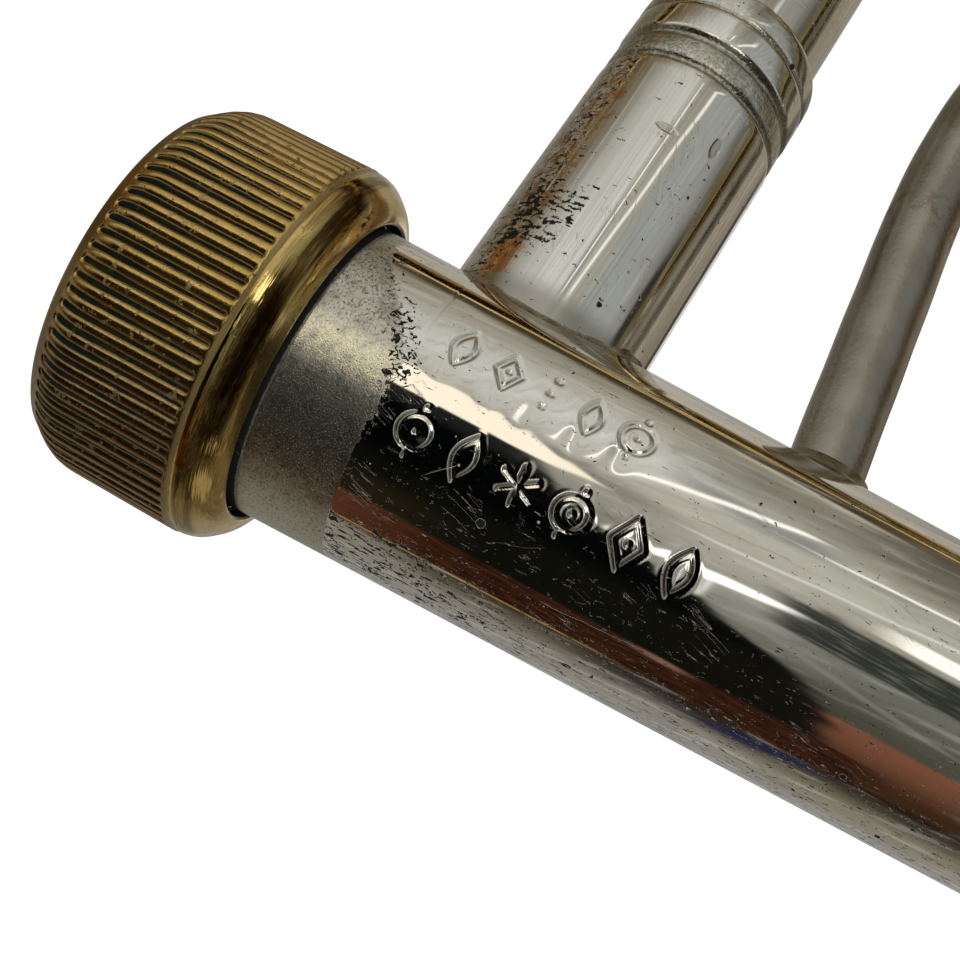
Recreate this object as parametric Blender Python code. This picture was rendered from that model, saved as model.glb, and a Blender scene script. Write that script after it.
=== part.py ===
"""Bell section of a straight large-bore tenor trombone.

The section stands on its bell rim, +Z up.  The slide receiver's axis and the
bell's axis are both vertical and AXIS_SPACING apart.  Heights are written as
"a", the distance above a datum plane at the lock nut's front end, which is
MOUTH_Z above the rim's rest plane.  "b" is the distance from the receiver axis towards the bell
axis, which runs towards -X.  The row origin is the middle of the bounding box
at the rest plane.
"""
import math

import bmesh
import bpy
from mathutils import Matrix, Vector

MM = 0.001

# ------------------------------------------------------------ driving sizes
GAP = 0.3                   # clearance between touching pieces
MOUTH_Z = 270.0             # datum plane above the rest plane
AXIS_SPACING = 101.6        # receiver axis to bell axis

RECEIVER_R = 9.13           # receiver tube outside
RECEIVER_A0 = 8.0           # its mouth
RECEIVER_A1 = 76.0          # its rear end
TENON_R0 = 8.10             # tapered bore at the mouth
TENON_R1 = 7.60             # tapered bore at its root
TENON_A1 = 32.0
AIR_R = 6.95                # air column
NECK_SEAT_A = 52.0          # counterbore that takes the neckpipe

STOP_RING_R = 9.85
STOP_RING_A = (8.0, 10.0)
WASHER_A = (10.3, 10.8)
NUT_LIP_A = 11.1            # inside face of the nut's rear lip
NUT_LIP_R = 9.5
NUT_BORE_R = 10.15
NUT_A0 = 0.45            # its front edge
NUT_A1 = 12.05
NUT_MAX_R = 11.84
FLUTES = 80
FLUTE_DEPTH = 0.38

BRACE_A = 21.56             # height of the lower brace
SOCKET_R = 6.35
SOCKET_BORE_R = 5.85
SOCKET_LEN = 36.1           # from each tube's axis
BRACE_R = 5.55
BRACE_WALL = 0.6

ROD_R = 2.51                # stay rod
ROD_START = (40.46, 9.75)   # (a, b) just clear of the receiver
ROD_LEAN = -5.7             # degrees towards the nut
ROD_BEND_B = 29.5           # where the bow starts
ROD_BEND_R = 68.0
ROD_SETTLE_B = 55.6         # straight from here
ROD_RETURN_B = 73.0         # second bend starts
ROD_END_GAP = 0.45

BELL_RIM_A = -268.0         # sheet edge
BELL_RIM_R = 104.1
BELL_K = 12.0
BELL_E = 0.6888
BELL_WALL = 0.7
BELL_LEVELS = (0.0, 3.0, 9.0, 20.0, 42.0, 80.0, 140.0, 230.0, 330.0, 453.0)
BEAD_R = 2.0                # half width of the rim roll across its flats
BEAD_C = (106.44, -268.0)   # (radius, a) of its centre

NECK_R = 7.95
NECK_BORE_R = 7.15
NECK_A = (53.0, 185.0)

FERRULE_R = 10.1
LEG_OUT_R = 8.95            # outer tuning legs
LEG_OUT_BORE = 8.35
LEG_OUT_A = (186.0, 262.0)
LEG_IN_R = 8.05             # inner tuning legs
LEG_IN_BORE = 7.45
LEG_IN_A = (194.0, 270.2)
CROOK_R = 8.6
CROOK_BORE = 7.9
CROOK_A0 = 271.0
CROOK_CENTRE_A = 280.0
CROOK_FERRULE_R = 9.6

UPPER_BRACE_A = 150.0
SMALL_BRACE_R = 3.2
SMALL_BRACE_WALL = 0.6
SLIDE_BRACE_A = 271.5

RECEIVER_X = (AXIS_SPACING + BEAD_C[0] + BEAD_R - NUT_MAX_R) / 2.0
BELL_X = RECEIVER_X - AXIS_SPACING

# ----------------------------------------------------------- clear the scene
for old in list(bpy.data.objects):
    bpy.data.objects.remove(old, do_unlink=True)


# ----------------------------------------------------------------- materials
def metal(name, colour, roughness, metallic=1.0):
    m = bpy.data.materials.new(name)
    m.use_nodes = True
    bsdf = m.node_tree.nodes["Principled BSDF"]
    bsdf.inputs["Base Color"].default_value = (*colour, 1.0)
    bsdf.inputs["Roughness"].default_value = roughness
    bsdf.inputs["Metallic"].default_value = metallic
    m.diffuse_color = (*colour, 1.0)
    return m


PLATE = ((0.74, 0.71, 0.66), 0.12)
BRASS = ((0.60, 0.42, 0.17), 0.22)
YELLOW = ((0.78, 0.57, 0.25), 0.14)
DULL = ((0.36, 0.33, 0.29), 0.42)
NICKEL = ((0.66, 0.63, 0.58), 0.2)


# ------------------------------------------------------------------- helpers
def finish(name, bm, look, matrix=None, parent=None, angle=35.0):
    bmesh.ops.recalc_face_normals(bm, faces=bm.faces)
    mesh = bpy.data.meshes.new(name)
    bm.to_mesh(mesh)
    bm.free()
    mesh.shade_smooth()
    mesh.set_sharp_from_angle(angle=math.radians(angle))
    mesh.materials.append(metal(name, *look))
    ob = bpy.data.objects.new(name, mesh)
    bpy.context.scene.collection.objects.link(ob)
    if matrix is not None:
        ob.matrix_world = matrix
    if parent is not None:
        bpy.context.view_layer.update()
        world = ob.matrix_world.copy()
        ob.parent = parent
        ob.matrix_parent_inverse = parent.matrix_world.inverted()
        ob.matrix_world = world
    return ob


def turned(profile, steps):
    """A closed (radius, height) outline spun about local Z into a ring solid."""
    bm = bmesh.new()
    verts = [bm.verts.new((r * MM, 0.0, h * MM)) for r, h in profile]
    edges = [bm.edges.new((verts[i], verts[(i + 1) % len(verts)]))
             for i in range(len(verts))]
    bmesh.ops.spin(bm, geom=verts + edges, cent=(0, 0, 0), axis=(0, 0, 1),
                   angle=2.0 * math.pi, steps=steps, use_merge=True)
    bmesh.ops.remove_doubles(bm, verts=bm.verts, dist=1e-6)
    return bm


def tube_outline(r_out, r_in, h0, h1):
    return [(r_out, h0), (r_out, h1), (r_in, h1), (r_in, h0)]


def upright(x):
    """Local Z is up; local height 0 is the datum plane."""
    return Matrix.Translation(Vector((x * MM, 0.0, MOUTH_Z * MM)))


def across(a):
    """Local Z runs from the receiver axis towards the bell axis at height a."""
    return (Matrix.Translation(Vector((RECEIVER_X * MM, 0.0, (MOUTH_Z + a) * MM)))
            @ Matrix.Rotation(math.radians(-90.0), 4, 'Y'))


def guide(ob):
    ob.hide_render = True
    ob.display_type = 'WIRE'
    return ob


def round_cutter(name, profile, x, steps):
    """Solid of revolution about a vertical axis, used only for saddle cuts."""
    bm = bmesh.new()
    rings = []
    for r, h in profile:
        ring = bmesh.ops.create_circle(bm, cap_ends=False, radius=r * MM, segments=steps,
                                       matrix=Matrix.Translation((0, 0, h * MM)))["verts"]
        rings.append(ring)
    for low, high in zip(rings, rings[1:]):
        for i in range(steps):
            j = (i + 1) % steps
            bm.faces.new((low[i], low[j], high[j], high[i]))
    bm.faces.new(list(reversed(rings[0])))
    bm.faces.new(rings[-1])
    return guide(finish(name, bm, DULL, upright(x)))


def saddle(ob, cutter):
    mod = ob.modifiers.new("saddle_" + cutter.name, 'BOOLEAN')
    mod.operation = 'DIFFERENCE'
    mod.solver = 'EXACT'
    mod.object = cutter


def swept(path, r_out, r_in, steps):
    """A round tube or rod along a list of (point, tangent) in one plane.

    The plane's normal is the row Y axis, so each ring is built on Y and on the
    direction square to both Y and the tangent.
    """
    bm = bmesh.new()
    side = Vector((0.0, 1.0, 0.0))

    def ring(point, tangent, r):
        other = tangent.cross(side).normalized()
        out = []
        for k in range(steps):
            t = 2.0 * math.pi * k / steps
            out.append(bm.verts.new((point + (side * math.cos(t) + other * math.sin(t)) * r) * MM))
        return out

    outer = [ring(p, t, r_out) for p, t in path]
    inner = [ring(p, t, r_in) for p, t in path] if r_in else None
    for rows in (outer, inner):
        if rows is None:
            continue
        for low, high in zip(rows, rows[1:]):
            for i in range(steps):
                j = (i + 1) % steps
                bm.faces.new((low[i], low[j], high[j], high[i]))
    for end in (0, -1):
        if inner is None:
            bm.faces.new(outer[end])
        else:
            for i in range(steps):
                j = (i + 1) % steps
                bm.faces.new((outer[end][i], outer[end][j], inner[end][j], inner[end][i]))
    return bm


def bell_curve(a):
    return BELL_RIM_R * (BELL_K / (a - BELL_RIM_A + BELL_K)) ** BELL_E


def bell_radius(a):
    """The bell's outside between its turned stations, where it is straight."""
    for low, high in zip(BELL_LEVELS, BELL_LEVELS[1:]):
        a0, a1 = BELL_RIM_A + low, BELL_RIM_A + high
        if a <= a1:
            t = (a - a0) / (a1 - a0)
            return bell_curve(a0) * (1.0 - t) + bell_curve(a1) * t
    return bell_curve(BELL_RIM_A + BELL_LEVELS[-1])


# ------------------------------------------------------------- joint empties
def joint_empty(name, x, a):
    e = bpy.data.objects.new(name, None)
    e.empty_display_size = 0.02
    e.location = (x * MM, 0.0, (MOUTH_Z + a) * MM)
    bpy.context.scene.collection.objects.link(e)
    return e


nut_axis = joint_empty("nut_axis", RECEIVER_X, 0.0)
slide_axis = joint_empty("tuning_slide_axis", (RECEIVER_X + BELL_X) / 2.0, LEG_IN_A[0])
bpy.context.view_layer.update()

# ------------------------------------------------------------- receiver tube
receiver_outline = [
    (RECEIVER_R, RECEIVER_A0), (RECEIVER_R, RECEIVER_A1),
    (NECK_R + GAP, RECEIVER_A1), (NECK_R + GAP, NECK_SEAT_A),
    (AIR_R, NECK_SEAT_A), (AIR_R, TENON_A1), (TENON_R1, TENON_A1),
    (TENON_R0, RECEIVER_A0)]
finish("receiver_tube", turned(receiver_outline, 48), PLATE, upright(RECEIVER_X))

finish("nut_stop_ring",
       turned(tube_outline(STOP_RING_R, RECEIVER_R + GAP, *STOP_RING_A), 48),
       BRASS, upright(RECEIVER_X))

# ------------------------------------------------- captive lock nut and washer
finish("nut_slip_washer",
       turned([(STOP_RING_R, WASHER_A[0]), (STOP_RING_R, WASHER_A[1]),
               (RECEIVER_R + GAP, WASHER_A[1]), (RECEIVER_R + GAP, WASHER_A[0])], 48),
       YELLOW, upright(RECEIVER_X), nut_axis)

nut_outline = [
    (NUT_BORE_R, NUT_A0), (10.45, NUT_A0), (10.85, 1.0), (11.2, 1.5),  # rounded front rim
    (11.46, 2.0), (11.64, 3.0), (NUT_MAX_R, 9.0), (11.70, 9.8),   # fluted band
    (11.38, 10.65), (10.9, 11.35), (10.3, 11.85),                 # polished collar
    (NUT_LIP_R + 0.2, NUT_A1), (NUT_LIP_R, NUT_A1),
    (NUT_LIP_R, NUT_LIP_A), (NUT_BORE_R, NUT_LIP_A)]
bm = turned(nut_outline, 2 * FLUTES)
for v in bm.verts:
    a = v.co.z / MM
    r = math.hypot(v.co.x, v.co.y) / MM
    if 1.9 < a < 9.2 and r > 11.0:
        k = round(math.atan2(v.co.y, v.co.x) / (math.pi / FLUTES))
        if k % 2:
            s = (r - FLUTE_DEPTH) / r
            v.co.x *= s
            v.co.y *= s
finish("lock_nut", bm, BRASS, upright(RECEIVER_X), nut_axis)

# ----------------------------------------------------------------- the bell
outer_line, inner_line = [], []
for lift in BELL_LEVELS:
    a = BELL_RIM_A + lift
    r = bell_curve(a)
    slope = -BELL_E * r / (lift + BELL_K)          # dr/da
    n = Vector((1.0, -slope)).normalized()         # outward, in (r, a)
    outer_line.append((r, a))
    inner_line.append((r - n.x * BELL_WALL, a - n.y * BELL_WALL))
bell_outline = outer_line + list(reversed(inner_line))
finish("bell", turned(bell_outline, 40), YELLOW, upright(BELL_X))

bead = []
for k in range(8):
    t = math.radians(22.5 + 45.0 * k)
    q = BEAD_R / math.cos(math.radians(22.5))
    bead.append((BEAD_C[0] + q * math.cos(t), BEAD_C[1] + q * math.sin(t)))
finish("bell_rim_wire", turned(bead, 40), YELLOW, upright(BELL_X))

# ----------------------------------------------------- lower brace and sockets
receiver_cutter = round_cutter("receiver_saddle_guide",
                               [(RECEIVER_R + GAP, 5.0), (RECEIVER_R + GAP, 60.0)], RECEIVER_X, 48)
bell_cutter = round_cutter("bell_saddle_guide",
                           [(bell_radius(a) + GAP + 0.05, a)
                            for a in (-10.0, BELL_RIM_A + 330.0, 90.0)],
                           BELL_X, 40)


def socket_outline(h0, length, up):
    """Turned socket: two grooves, a plain band and an end bead."""
    marks = [(SOCKET_R, h0), (SOCKET_R, 28.0), (6.12, 28.35), (6.12, 28.7), (6.3, 29.0),
             (6.3, 30.2), (6.12, 30.55), (6.12, 30.9), (SOCKET_R, 31.25), (SOCKET_R, 33.4),
             (6.24, 33.65), (SOCKET_R, 33.95), (6.32, 35.2), (6.15, 35.75), (5.98, length)]
    marks += [(SOCKET_BORE_R, length), (SOCKET_BORE_R, h0)]
    return [(r, up * h if up > 0 else AXIS_SPACING - h) for r, h in marks]


socket_a = finish("brace_socket_receiver", turned(socket_outline(6.5, SOCKET_LEN, 1), 24),
                  PLATE, across(BRACE_A))
saddle(socket_a, receiver_cutter)
socket_b = finish("brace_socket_bell", turned(socket_outline(8.4, SOCKET_LEN, -1), 24),
                  PLATE, across(BRACE_A))
saddle(socket_b, bell_cutter)
finish("brace_tube",
       turned(tube_outline(BRACE_R, BRACE_R - BRACE_WALL, 12.0, AXIS_SPACING - 14.0), 24),
       NICKEL, across(BRACE_A))


# ------------------------------------------------------------------ stay rod
def rod_heading(b):
    """Angle of the rod away from straight across, degrees, positive upwards."""
    lean = math.radians(ROD_LEAN)
    top = lean + (ROD_SETTLE_B - ROD_BEND_B) / ROD_BEND_R
    end_b = AXIS_SPACING - 11.0
    if b < ROD_BEND_B:
        return lean
    if b < ROD_SETTLE_B:
        return lean + (b - ROD_BEND_B) / ROD_BEND_R
    if b < ROD_RETURN_B:
        return top
    return top * max(0.0, 1.0 - (b - ROD_RETURN_B) / (end_b - 3.0 - ROD_RETURN_B))


def rod_path():
    """Steps along b, integrating the heading, in (a, b) and then in the row frame."""
    a, b = ROD_START
    step = 0.5
    raw = [(a, b, rod_heading(b))]
    while True:
        h = rod_heading(b + step / 2)
        a += math.tan(h) * step
        b += step
        if AXIS_SPACING - b < bell_radius(a) + ROD_END_GAP + 0.4:
            break
        raw.append((a, b, rod_heading(b)))
    keep = [raw[0]]
    for item in raw[1:-1]:
        if abs(item[2] - keep[-1][2]) > math.radians(4.0):
            keep.append(item)
    keep.append(raw[-1])
    path = []
    for a, b, h in keep:
        point = Vector((RECEIVER_X - b, 0.0, MOUTH_Z + a))
        tangent = Vector((-math.cos(h), 0.0, math.sin(h)))
        path.append((point, tangent))
    return path


rod = rod_path()
finish("stay_rod", swept(rod, ROD_R, 0.0, 16), DULL)


def foot(name, point, tangent, cutter, sign, h0, h1):
    """Low saddled collar round the rod's end."""
    z = tangent.normalized() * sign
    y = Vector((0.0, 1.0, 0.0))
    x = y.cross(z).normalized()
    m = Matrix((x, y, z)).transposed().to_4x4()
    m.translation = point * MM
    outline = [(4.2, h0), (3.9, h1), (ROD_R + GAP, h1), (ROD_R + GAP, h0)]
    ob = finish(name, turned(outline, 16), DULL, m)
    saddle(ob, cutter)
    return ob


foot("stay_rod_foot_receiver", rod[0][0], rod[0][1], receiver_cutter, 1.0, -2.6, 0.85)
foot("stay_rod_foot_bell", rod[-1][0], rod[-1][1], bell_cutter, -1.0, -2.6, 2.2)

# ------------------------------------------------------ neckpipe and ferrules
finish("neckpipe", turned(tube_outline(NECK_R, NECK_BORE_R, *NECK_A), 24), YELLOW,
       upright(RECEIVER_X))

ferrule_outline = [
    (RECEIVER_R + GAP, 66.0), (FERRULE_R, 66.6), (FERRULE_R, 79.6), (9.0, 82.2), (8.6, 86.0),
    (NECK_R + GAP, 86.0), (NECK_R + GAP, RECEIVER_A1 + GAP), (RECEIVER_R + GAP, RECEIVER_A1 + GAP)]
finish("receiver_ferrule", turned(ferrule_outline, 24), NICKEL, upright(RECEIVER_X))


def leg_ferrule(name, x, low_bore):
    outline = [
        (low_bore, 172.0), (low_bore + 0.5, 172.0), (FERRULE_R + 0.1, 178.6),
        (FERRULE_R + 0.1, 198.0),
        (LEG_OUT_R + GAP, 198.0), (LEG_OUT_R + GAP, 185.5), (low_bore, 185.5)]
    return finish(name, turned(outline, 24), NICKEL, upright(x))


leg_ferrule("neck_leg_ferrule", RECEIVER_X, NECK_R + GAP)
leg_ferrule("bell_leg_ferrule", BELL_X, bell_radius(172.0) + GAP)


def outer_leg(name, x):
    a0, a1 = LEG_OUT_A
    outline = [
        (LEG_OUT_R, a0), (LEG_OUT_R, a1 - 4.2), (LEG_OUT_R + 0.55, a1 - 3.6),
        (LEG_OUT_R + 0.55, a1), (LEG_OUT_BORE, a1), (LEG_OUT_BORE, a0)]
    return finish(name, turned(outline, 24), NICKEL, upright(x))


outer_leg("neck_outer_leg", RECEIVER_X)
outer_leg("bell_outer_leg", BELL_X)

# --------------------------------------------------------------- upper brace
neck_cutter = round_cutter("neck_saddle_guide",
                           [(NECK_R + GAP, 135.0), (NECK_R + GAP, 165.0)], RECEIVER_X, 24)
stem_cutter = round_cutter("stem_saddle_guide",
                           [(bell_radius(a) + GAP + 0.05, a) for a in (135.0, 165.0)],
                           BELL_X, 40)


def small_flange(name, a, near, length, cutter, parent=None):
    """Saddled flange for a small brace tube; near is its root from the tube's axis."""
    body = [(5.6, near), (5.6, length - 3.6), (4.2, length - 1.6),
            (4.2, length), (SMALL_BRACE_R + GAP, length), (SMALL_BRACE_R + GAP, near)]
    if name.endswith("bell"):
        body = [(r, AXIS_SPACING - h) for r, h in body]
    ob = finish(name, turned(body, 16), NICKEL, across(a), parent)
    saddle(ob, cutter)
    return ob


small_flange("upper_brace_flange_neck", UPPER_BRACE_A, 5.8, 14.5, neck_cutter)
small_flange("upper_brace_flange_bell", UPPER_BRACE_A, 6.6, 15.4, stem_cutter)
finish("upper_brace_tube",
       turned(tube_outline(SMALL_BRACE_R, SMALL_BRACE_R - SMALL_BRACE_WALL, 9.2,
                           AXIS_SPACING - 10.2), 16),
       NICKEL, across(UPPER_BRACE_A))

# -------------------------------------------------------------- tuning slide
for side, x in (("neck", RECEIVER_X), ("bell", BELL_X)):
    finish("slide_inner_leg_" + side, turned(tube_outline(LEG_IN_R, LEG_IN_BORE, *LEG_IN_A), 24),
           NICKEL, upright(x), slide_axis)
    outline = [
        (LEG_IN_R + GAP, 262.6), (CROOK_FERRULE_R, 262.9), (CROOK_FERRULE_R, 279.2),
        (9.15, 279.8), (CROOK_R + GAP, 279.8), (CROOK_R + GAP, LEG_IN_A[1] + 0.4),
        (LEG_IN_R + GAP, LEG_IN_A[1] + 0.4)]
    finish("crook_ferrule_" + side, turned(outline, 24), NICKEL, upright(x), slide_axis)

half = AXIS_SPACING / 2.0
crook = [(Vector((RECEIVER_X, 0.0, MOUTH_Z + CROOK_A0)), Vector((0.0, 0.0, 1.0)))]
BENDS = 16
for i in range(BENDS + 1):
    t = math.pi * i / BENDS
    crook.append((Vector((RECEIVER_X - half + half * math.cos(t), 0.0,
                          MOUTH_Z + CROOK_CENTRE_A + half * math.sin(t))),
                  Vector((-math.sin(t), 0.0, math.cos(t)))))
crook.append((Vector((BELL_X, 0.0, MOUTH_Z + CROOK_A0)), Vector((0.0, 0.0, -1.0))))
finish("tuning_crook", swept(crook, CROOK_R, CROOK_BORE, 16), YELLOW, None, slide_axis)

slide_neck_cutter = round_cutter("slide_neck_saddle_guide",
                                 [(CROOK_FERRULE_R + GAP, 262.0), (CROOK_FERRULE_R + GAP, 281.0)],
                                 RECEIVER_X, 24)
slide_bell_cutter = round_cutter("slide_bell_saddle_guide",
                                 [(CROOK_FERRULE_R + GAP, 262.0), (CROOK_FERRULE_R + GAP, 281.0)],
                                 BELL_X, 24)
small_flange("slide_brace_flange_neck", SLIDE_BRACE_A, 7.6, 16.0, slide_neck_cutter, slide_axis)
small_flange("slide_brace_flange_bell", SLIDE_BRACE_A, 7.6, 16.0, slide_bell_cutter, slide_axis)
finish("slide_brace_tube",
       turned(tube_outline(SMALL_BRACE_R, SMALL_BRACE_R - SMALL_BRACE_WALL, 11.2,
                           AXIS_SPACING - 11.2), 16),
       NICKEL, across(SLIDE_BRACE_A), slide_axis)
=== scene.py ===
import math

import bpy
import numpy as np
from mathutils import Matrix, Vector


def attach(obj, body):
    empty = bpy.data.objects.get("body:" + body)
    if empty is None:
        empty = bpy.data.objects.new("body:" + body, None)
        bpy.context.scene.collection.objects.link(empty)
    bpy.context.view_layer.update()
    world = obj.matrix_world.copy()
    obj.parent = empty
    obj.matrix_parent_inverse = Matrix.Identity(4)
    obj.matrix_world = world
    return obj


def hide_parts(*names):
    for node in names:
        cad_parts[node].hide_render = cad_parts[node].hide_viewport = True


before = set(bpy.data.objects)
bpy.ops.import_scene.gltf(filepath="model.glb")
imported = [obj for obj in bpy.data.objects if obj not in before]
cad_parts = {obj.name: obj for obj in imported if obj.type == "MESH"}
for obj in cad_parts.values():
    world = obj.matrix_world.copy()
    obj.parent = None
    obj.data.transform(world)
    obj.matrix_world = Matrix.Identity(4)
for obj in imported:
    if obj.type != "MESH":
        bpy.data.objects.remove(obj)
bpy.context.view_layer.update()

MM = 0.001
RX = 99.1                  # receiver axis, row X in mm
BX = -2.5                  # bell axis
H0 = 270.0                 # lock nut's front plane
R = 9.13                   # receiver tube radius
AXES = 101.6
BRACE_A = 21.56


# ======================================================================= mesh
def make_object(name, verts, faces, material, smooth=True, angle=32.0):
    me = bpy.data.meshes.new(name)
    verts = np.asarray(verts, np.float32) * MM
    faces = np.asarray(faces, np.int32)
    me.vertices.add(len(verts))
    me.vertices.foreach_set("co", verts.ravel())
    k = faces.shape[1]
    me.loops.add(faces.size)
    me.loops.foreach_set("vertex_index", faces.ravel())
    me.polygons.add(len(faces))
    me.polygons.foreach_set("loop_start", np.arange(0, faces.size, k, dtype=np.int32))
    me.update(calc_edges=True)
    me.validate()
    me.materials.append(material)
    ob = bpy.data.objects.new(name, me)
    bpy.context.scene.collection.objects.link(ob)
    if smooth:
        me.shade_smooth()
        me.set_sharp_from_angle(angle=math.radians(angle))
    return ob


def loop_grid(rings, closed_rows=True, caps=False):
    """rings: (rows, columns, 3).  Columns always close; rows close when told."""
    rows, cols, _ = rings.shape
    verts = rings.reshape(-1, 3)
    i = np.arange(rows if closed_rows else rows - 1)
    j = np.arange(cols)
    ii, jj = np.meshgrid(i, j, indexing="ij")
    i2, j2 = (ii + 1) % rows, (jj + 1) % cols
    quads = np.stack([ii * cols + jj, ii * cols + j2, i2 * cols + j2, i2 * cols + jj], -1)
    return verts, quads.reshape(-1, 4)


def signed_volume(verts, faces):
    a, b, c, d = (verts[faces[:, k]] for k in range(4))
    return (np.einsum("ij,ij->i", a, np.cross(b, c)).sum()
            + np.einsum("ij,ij->i", a, np.cross(c, d)).sum()) / 6.0


def solid_from_rings(name, rings, material, body, stands_for=(), angle=32.0):
    verts, faces = loop_grid(rings)
    if signed_volume(verts, faces) < 0:
        faces = faces[:, ::-1]
    ob = make_object(name, verts, faces, material, angle=angle)
    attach(ob, body)
    if stands_for:
        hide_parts(*stands_for)
    return ob


def soften(outline, radius, steps=3, min_turn=18.0):
    """Rounds the corners of a closed (r, h) outline."""
    pts = [np.array(p, float) for p in outline]
    out = []
    n = len(pts)
    for i, p in enumerate(pts):
        a, b = pts[i - 1], pts[(i + 1) % n]
        u, v = p - a, b - p
        lu, lv = np.linalg.norm(u), np.linalg.norm(v)
        if lu < 1e-9 or lv < 1e-9:
            out.append(p)
            continue
        cosang = np.clip(u @ v / (lu * lv), -1, 1)
        if math.degrees(math.acos(cosang)) < min_turn:
            out.append(p)
            continue
        q = min(radius, 0.42 * lu, 0.42 * lv)
        s, e = p - u / lu * q, p + v / lv * q
        for k in range(steps + 1):
            t = k / steps
            out.append((1 - t) ** 2 * s + 2 * t * (1 - t) * p + t * t * e)
    return [tuple(p) for p in out]


def densify(outline, step):
    out = []
    n = len(outline)
    for i, p in enumerate(outline):
        p, q = np.array(p, float), np.array(outline[(i + 1) % n], float)
        m = max(1, int(math.ceil(np.linalg.norm(q - p) / step)))
        for k in range(m):
            out.append(tuple(p + (q - p) * k / m))
    return out


def rings_upright(outline, x, segs):
    o = np.array(outline, float)
    t = np.linspace(0, 2 * np.pi, segs, endpoint=False)
    rr, hh = o[:, 0][:, None], o[:, 1][:, None]
    return np.stack([x + rr * np.cos(t), rr * np.sin(t), np.broadcast_to(H0 + hh, (len(o), segs))], -1)


def rings_across(outline, a, segs):
    """Revolved about the line from the receiver axis to the bell axis at height a; h is b."""
    o = np.array(outline, float)
    t = np.linspace(0, 2 * np.pi, segs, endpoint=False)
    rr, hh = o[:, 0][:, None], o[:, 1][:, None]
    return np.stack([np.broadcast_to(RX - hh, (len(o), segs)), -rr * np.sin(t), H0 + a + rr * np.cos(t)], -1)


def turned(name, outline, x, segs, material, body, stands_for=(), soft=0.18, angle=32.0):
    if soft:
        outline = soften(outline, soft)
    return solid_from_rings(name, rings_upright(outline, x, segs), material, body, stands_for, angle)


def tube_line(r_out, r_in, h0, h1):
    return [(r_out, h0), (r_out, h1), (r_in, h1), (r_in, h0)]


# ================================================================== materials
class F:
    """A float or vector socket with arithmetic."""

    def __init__(self, g, s):
        self.g, self.s = g, s

    def _m(self, op, *args):
        return self.g.math(op, self, *args)

    def __add__(self, o): return self._m("ADD", o)
    def __radd__(self, o): return self._m("ADD", o)
    def __sub__(self, o): return self._m("SUBTRACT", o)
    def __rsub__(self, o): return self.g.math("SUBTRACT", o, self)
    def __mul__(self, o): return self._m("MULTIPLY", o)
    def __rmul__(self, o): return self._m("MULTIPLY", o)
    def __truediv__(self, o): return self._m("DIVIDE", o)
    def __neg__(self): return self._m("MULTIPLY", -1.0)


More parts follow.
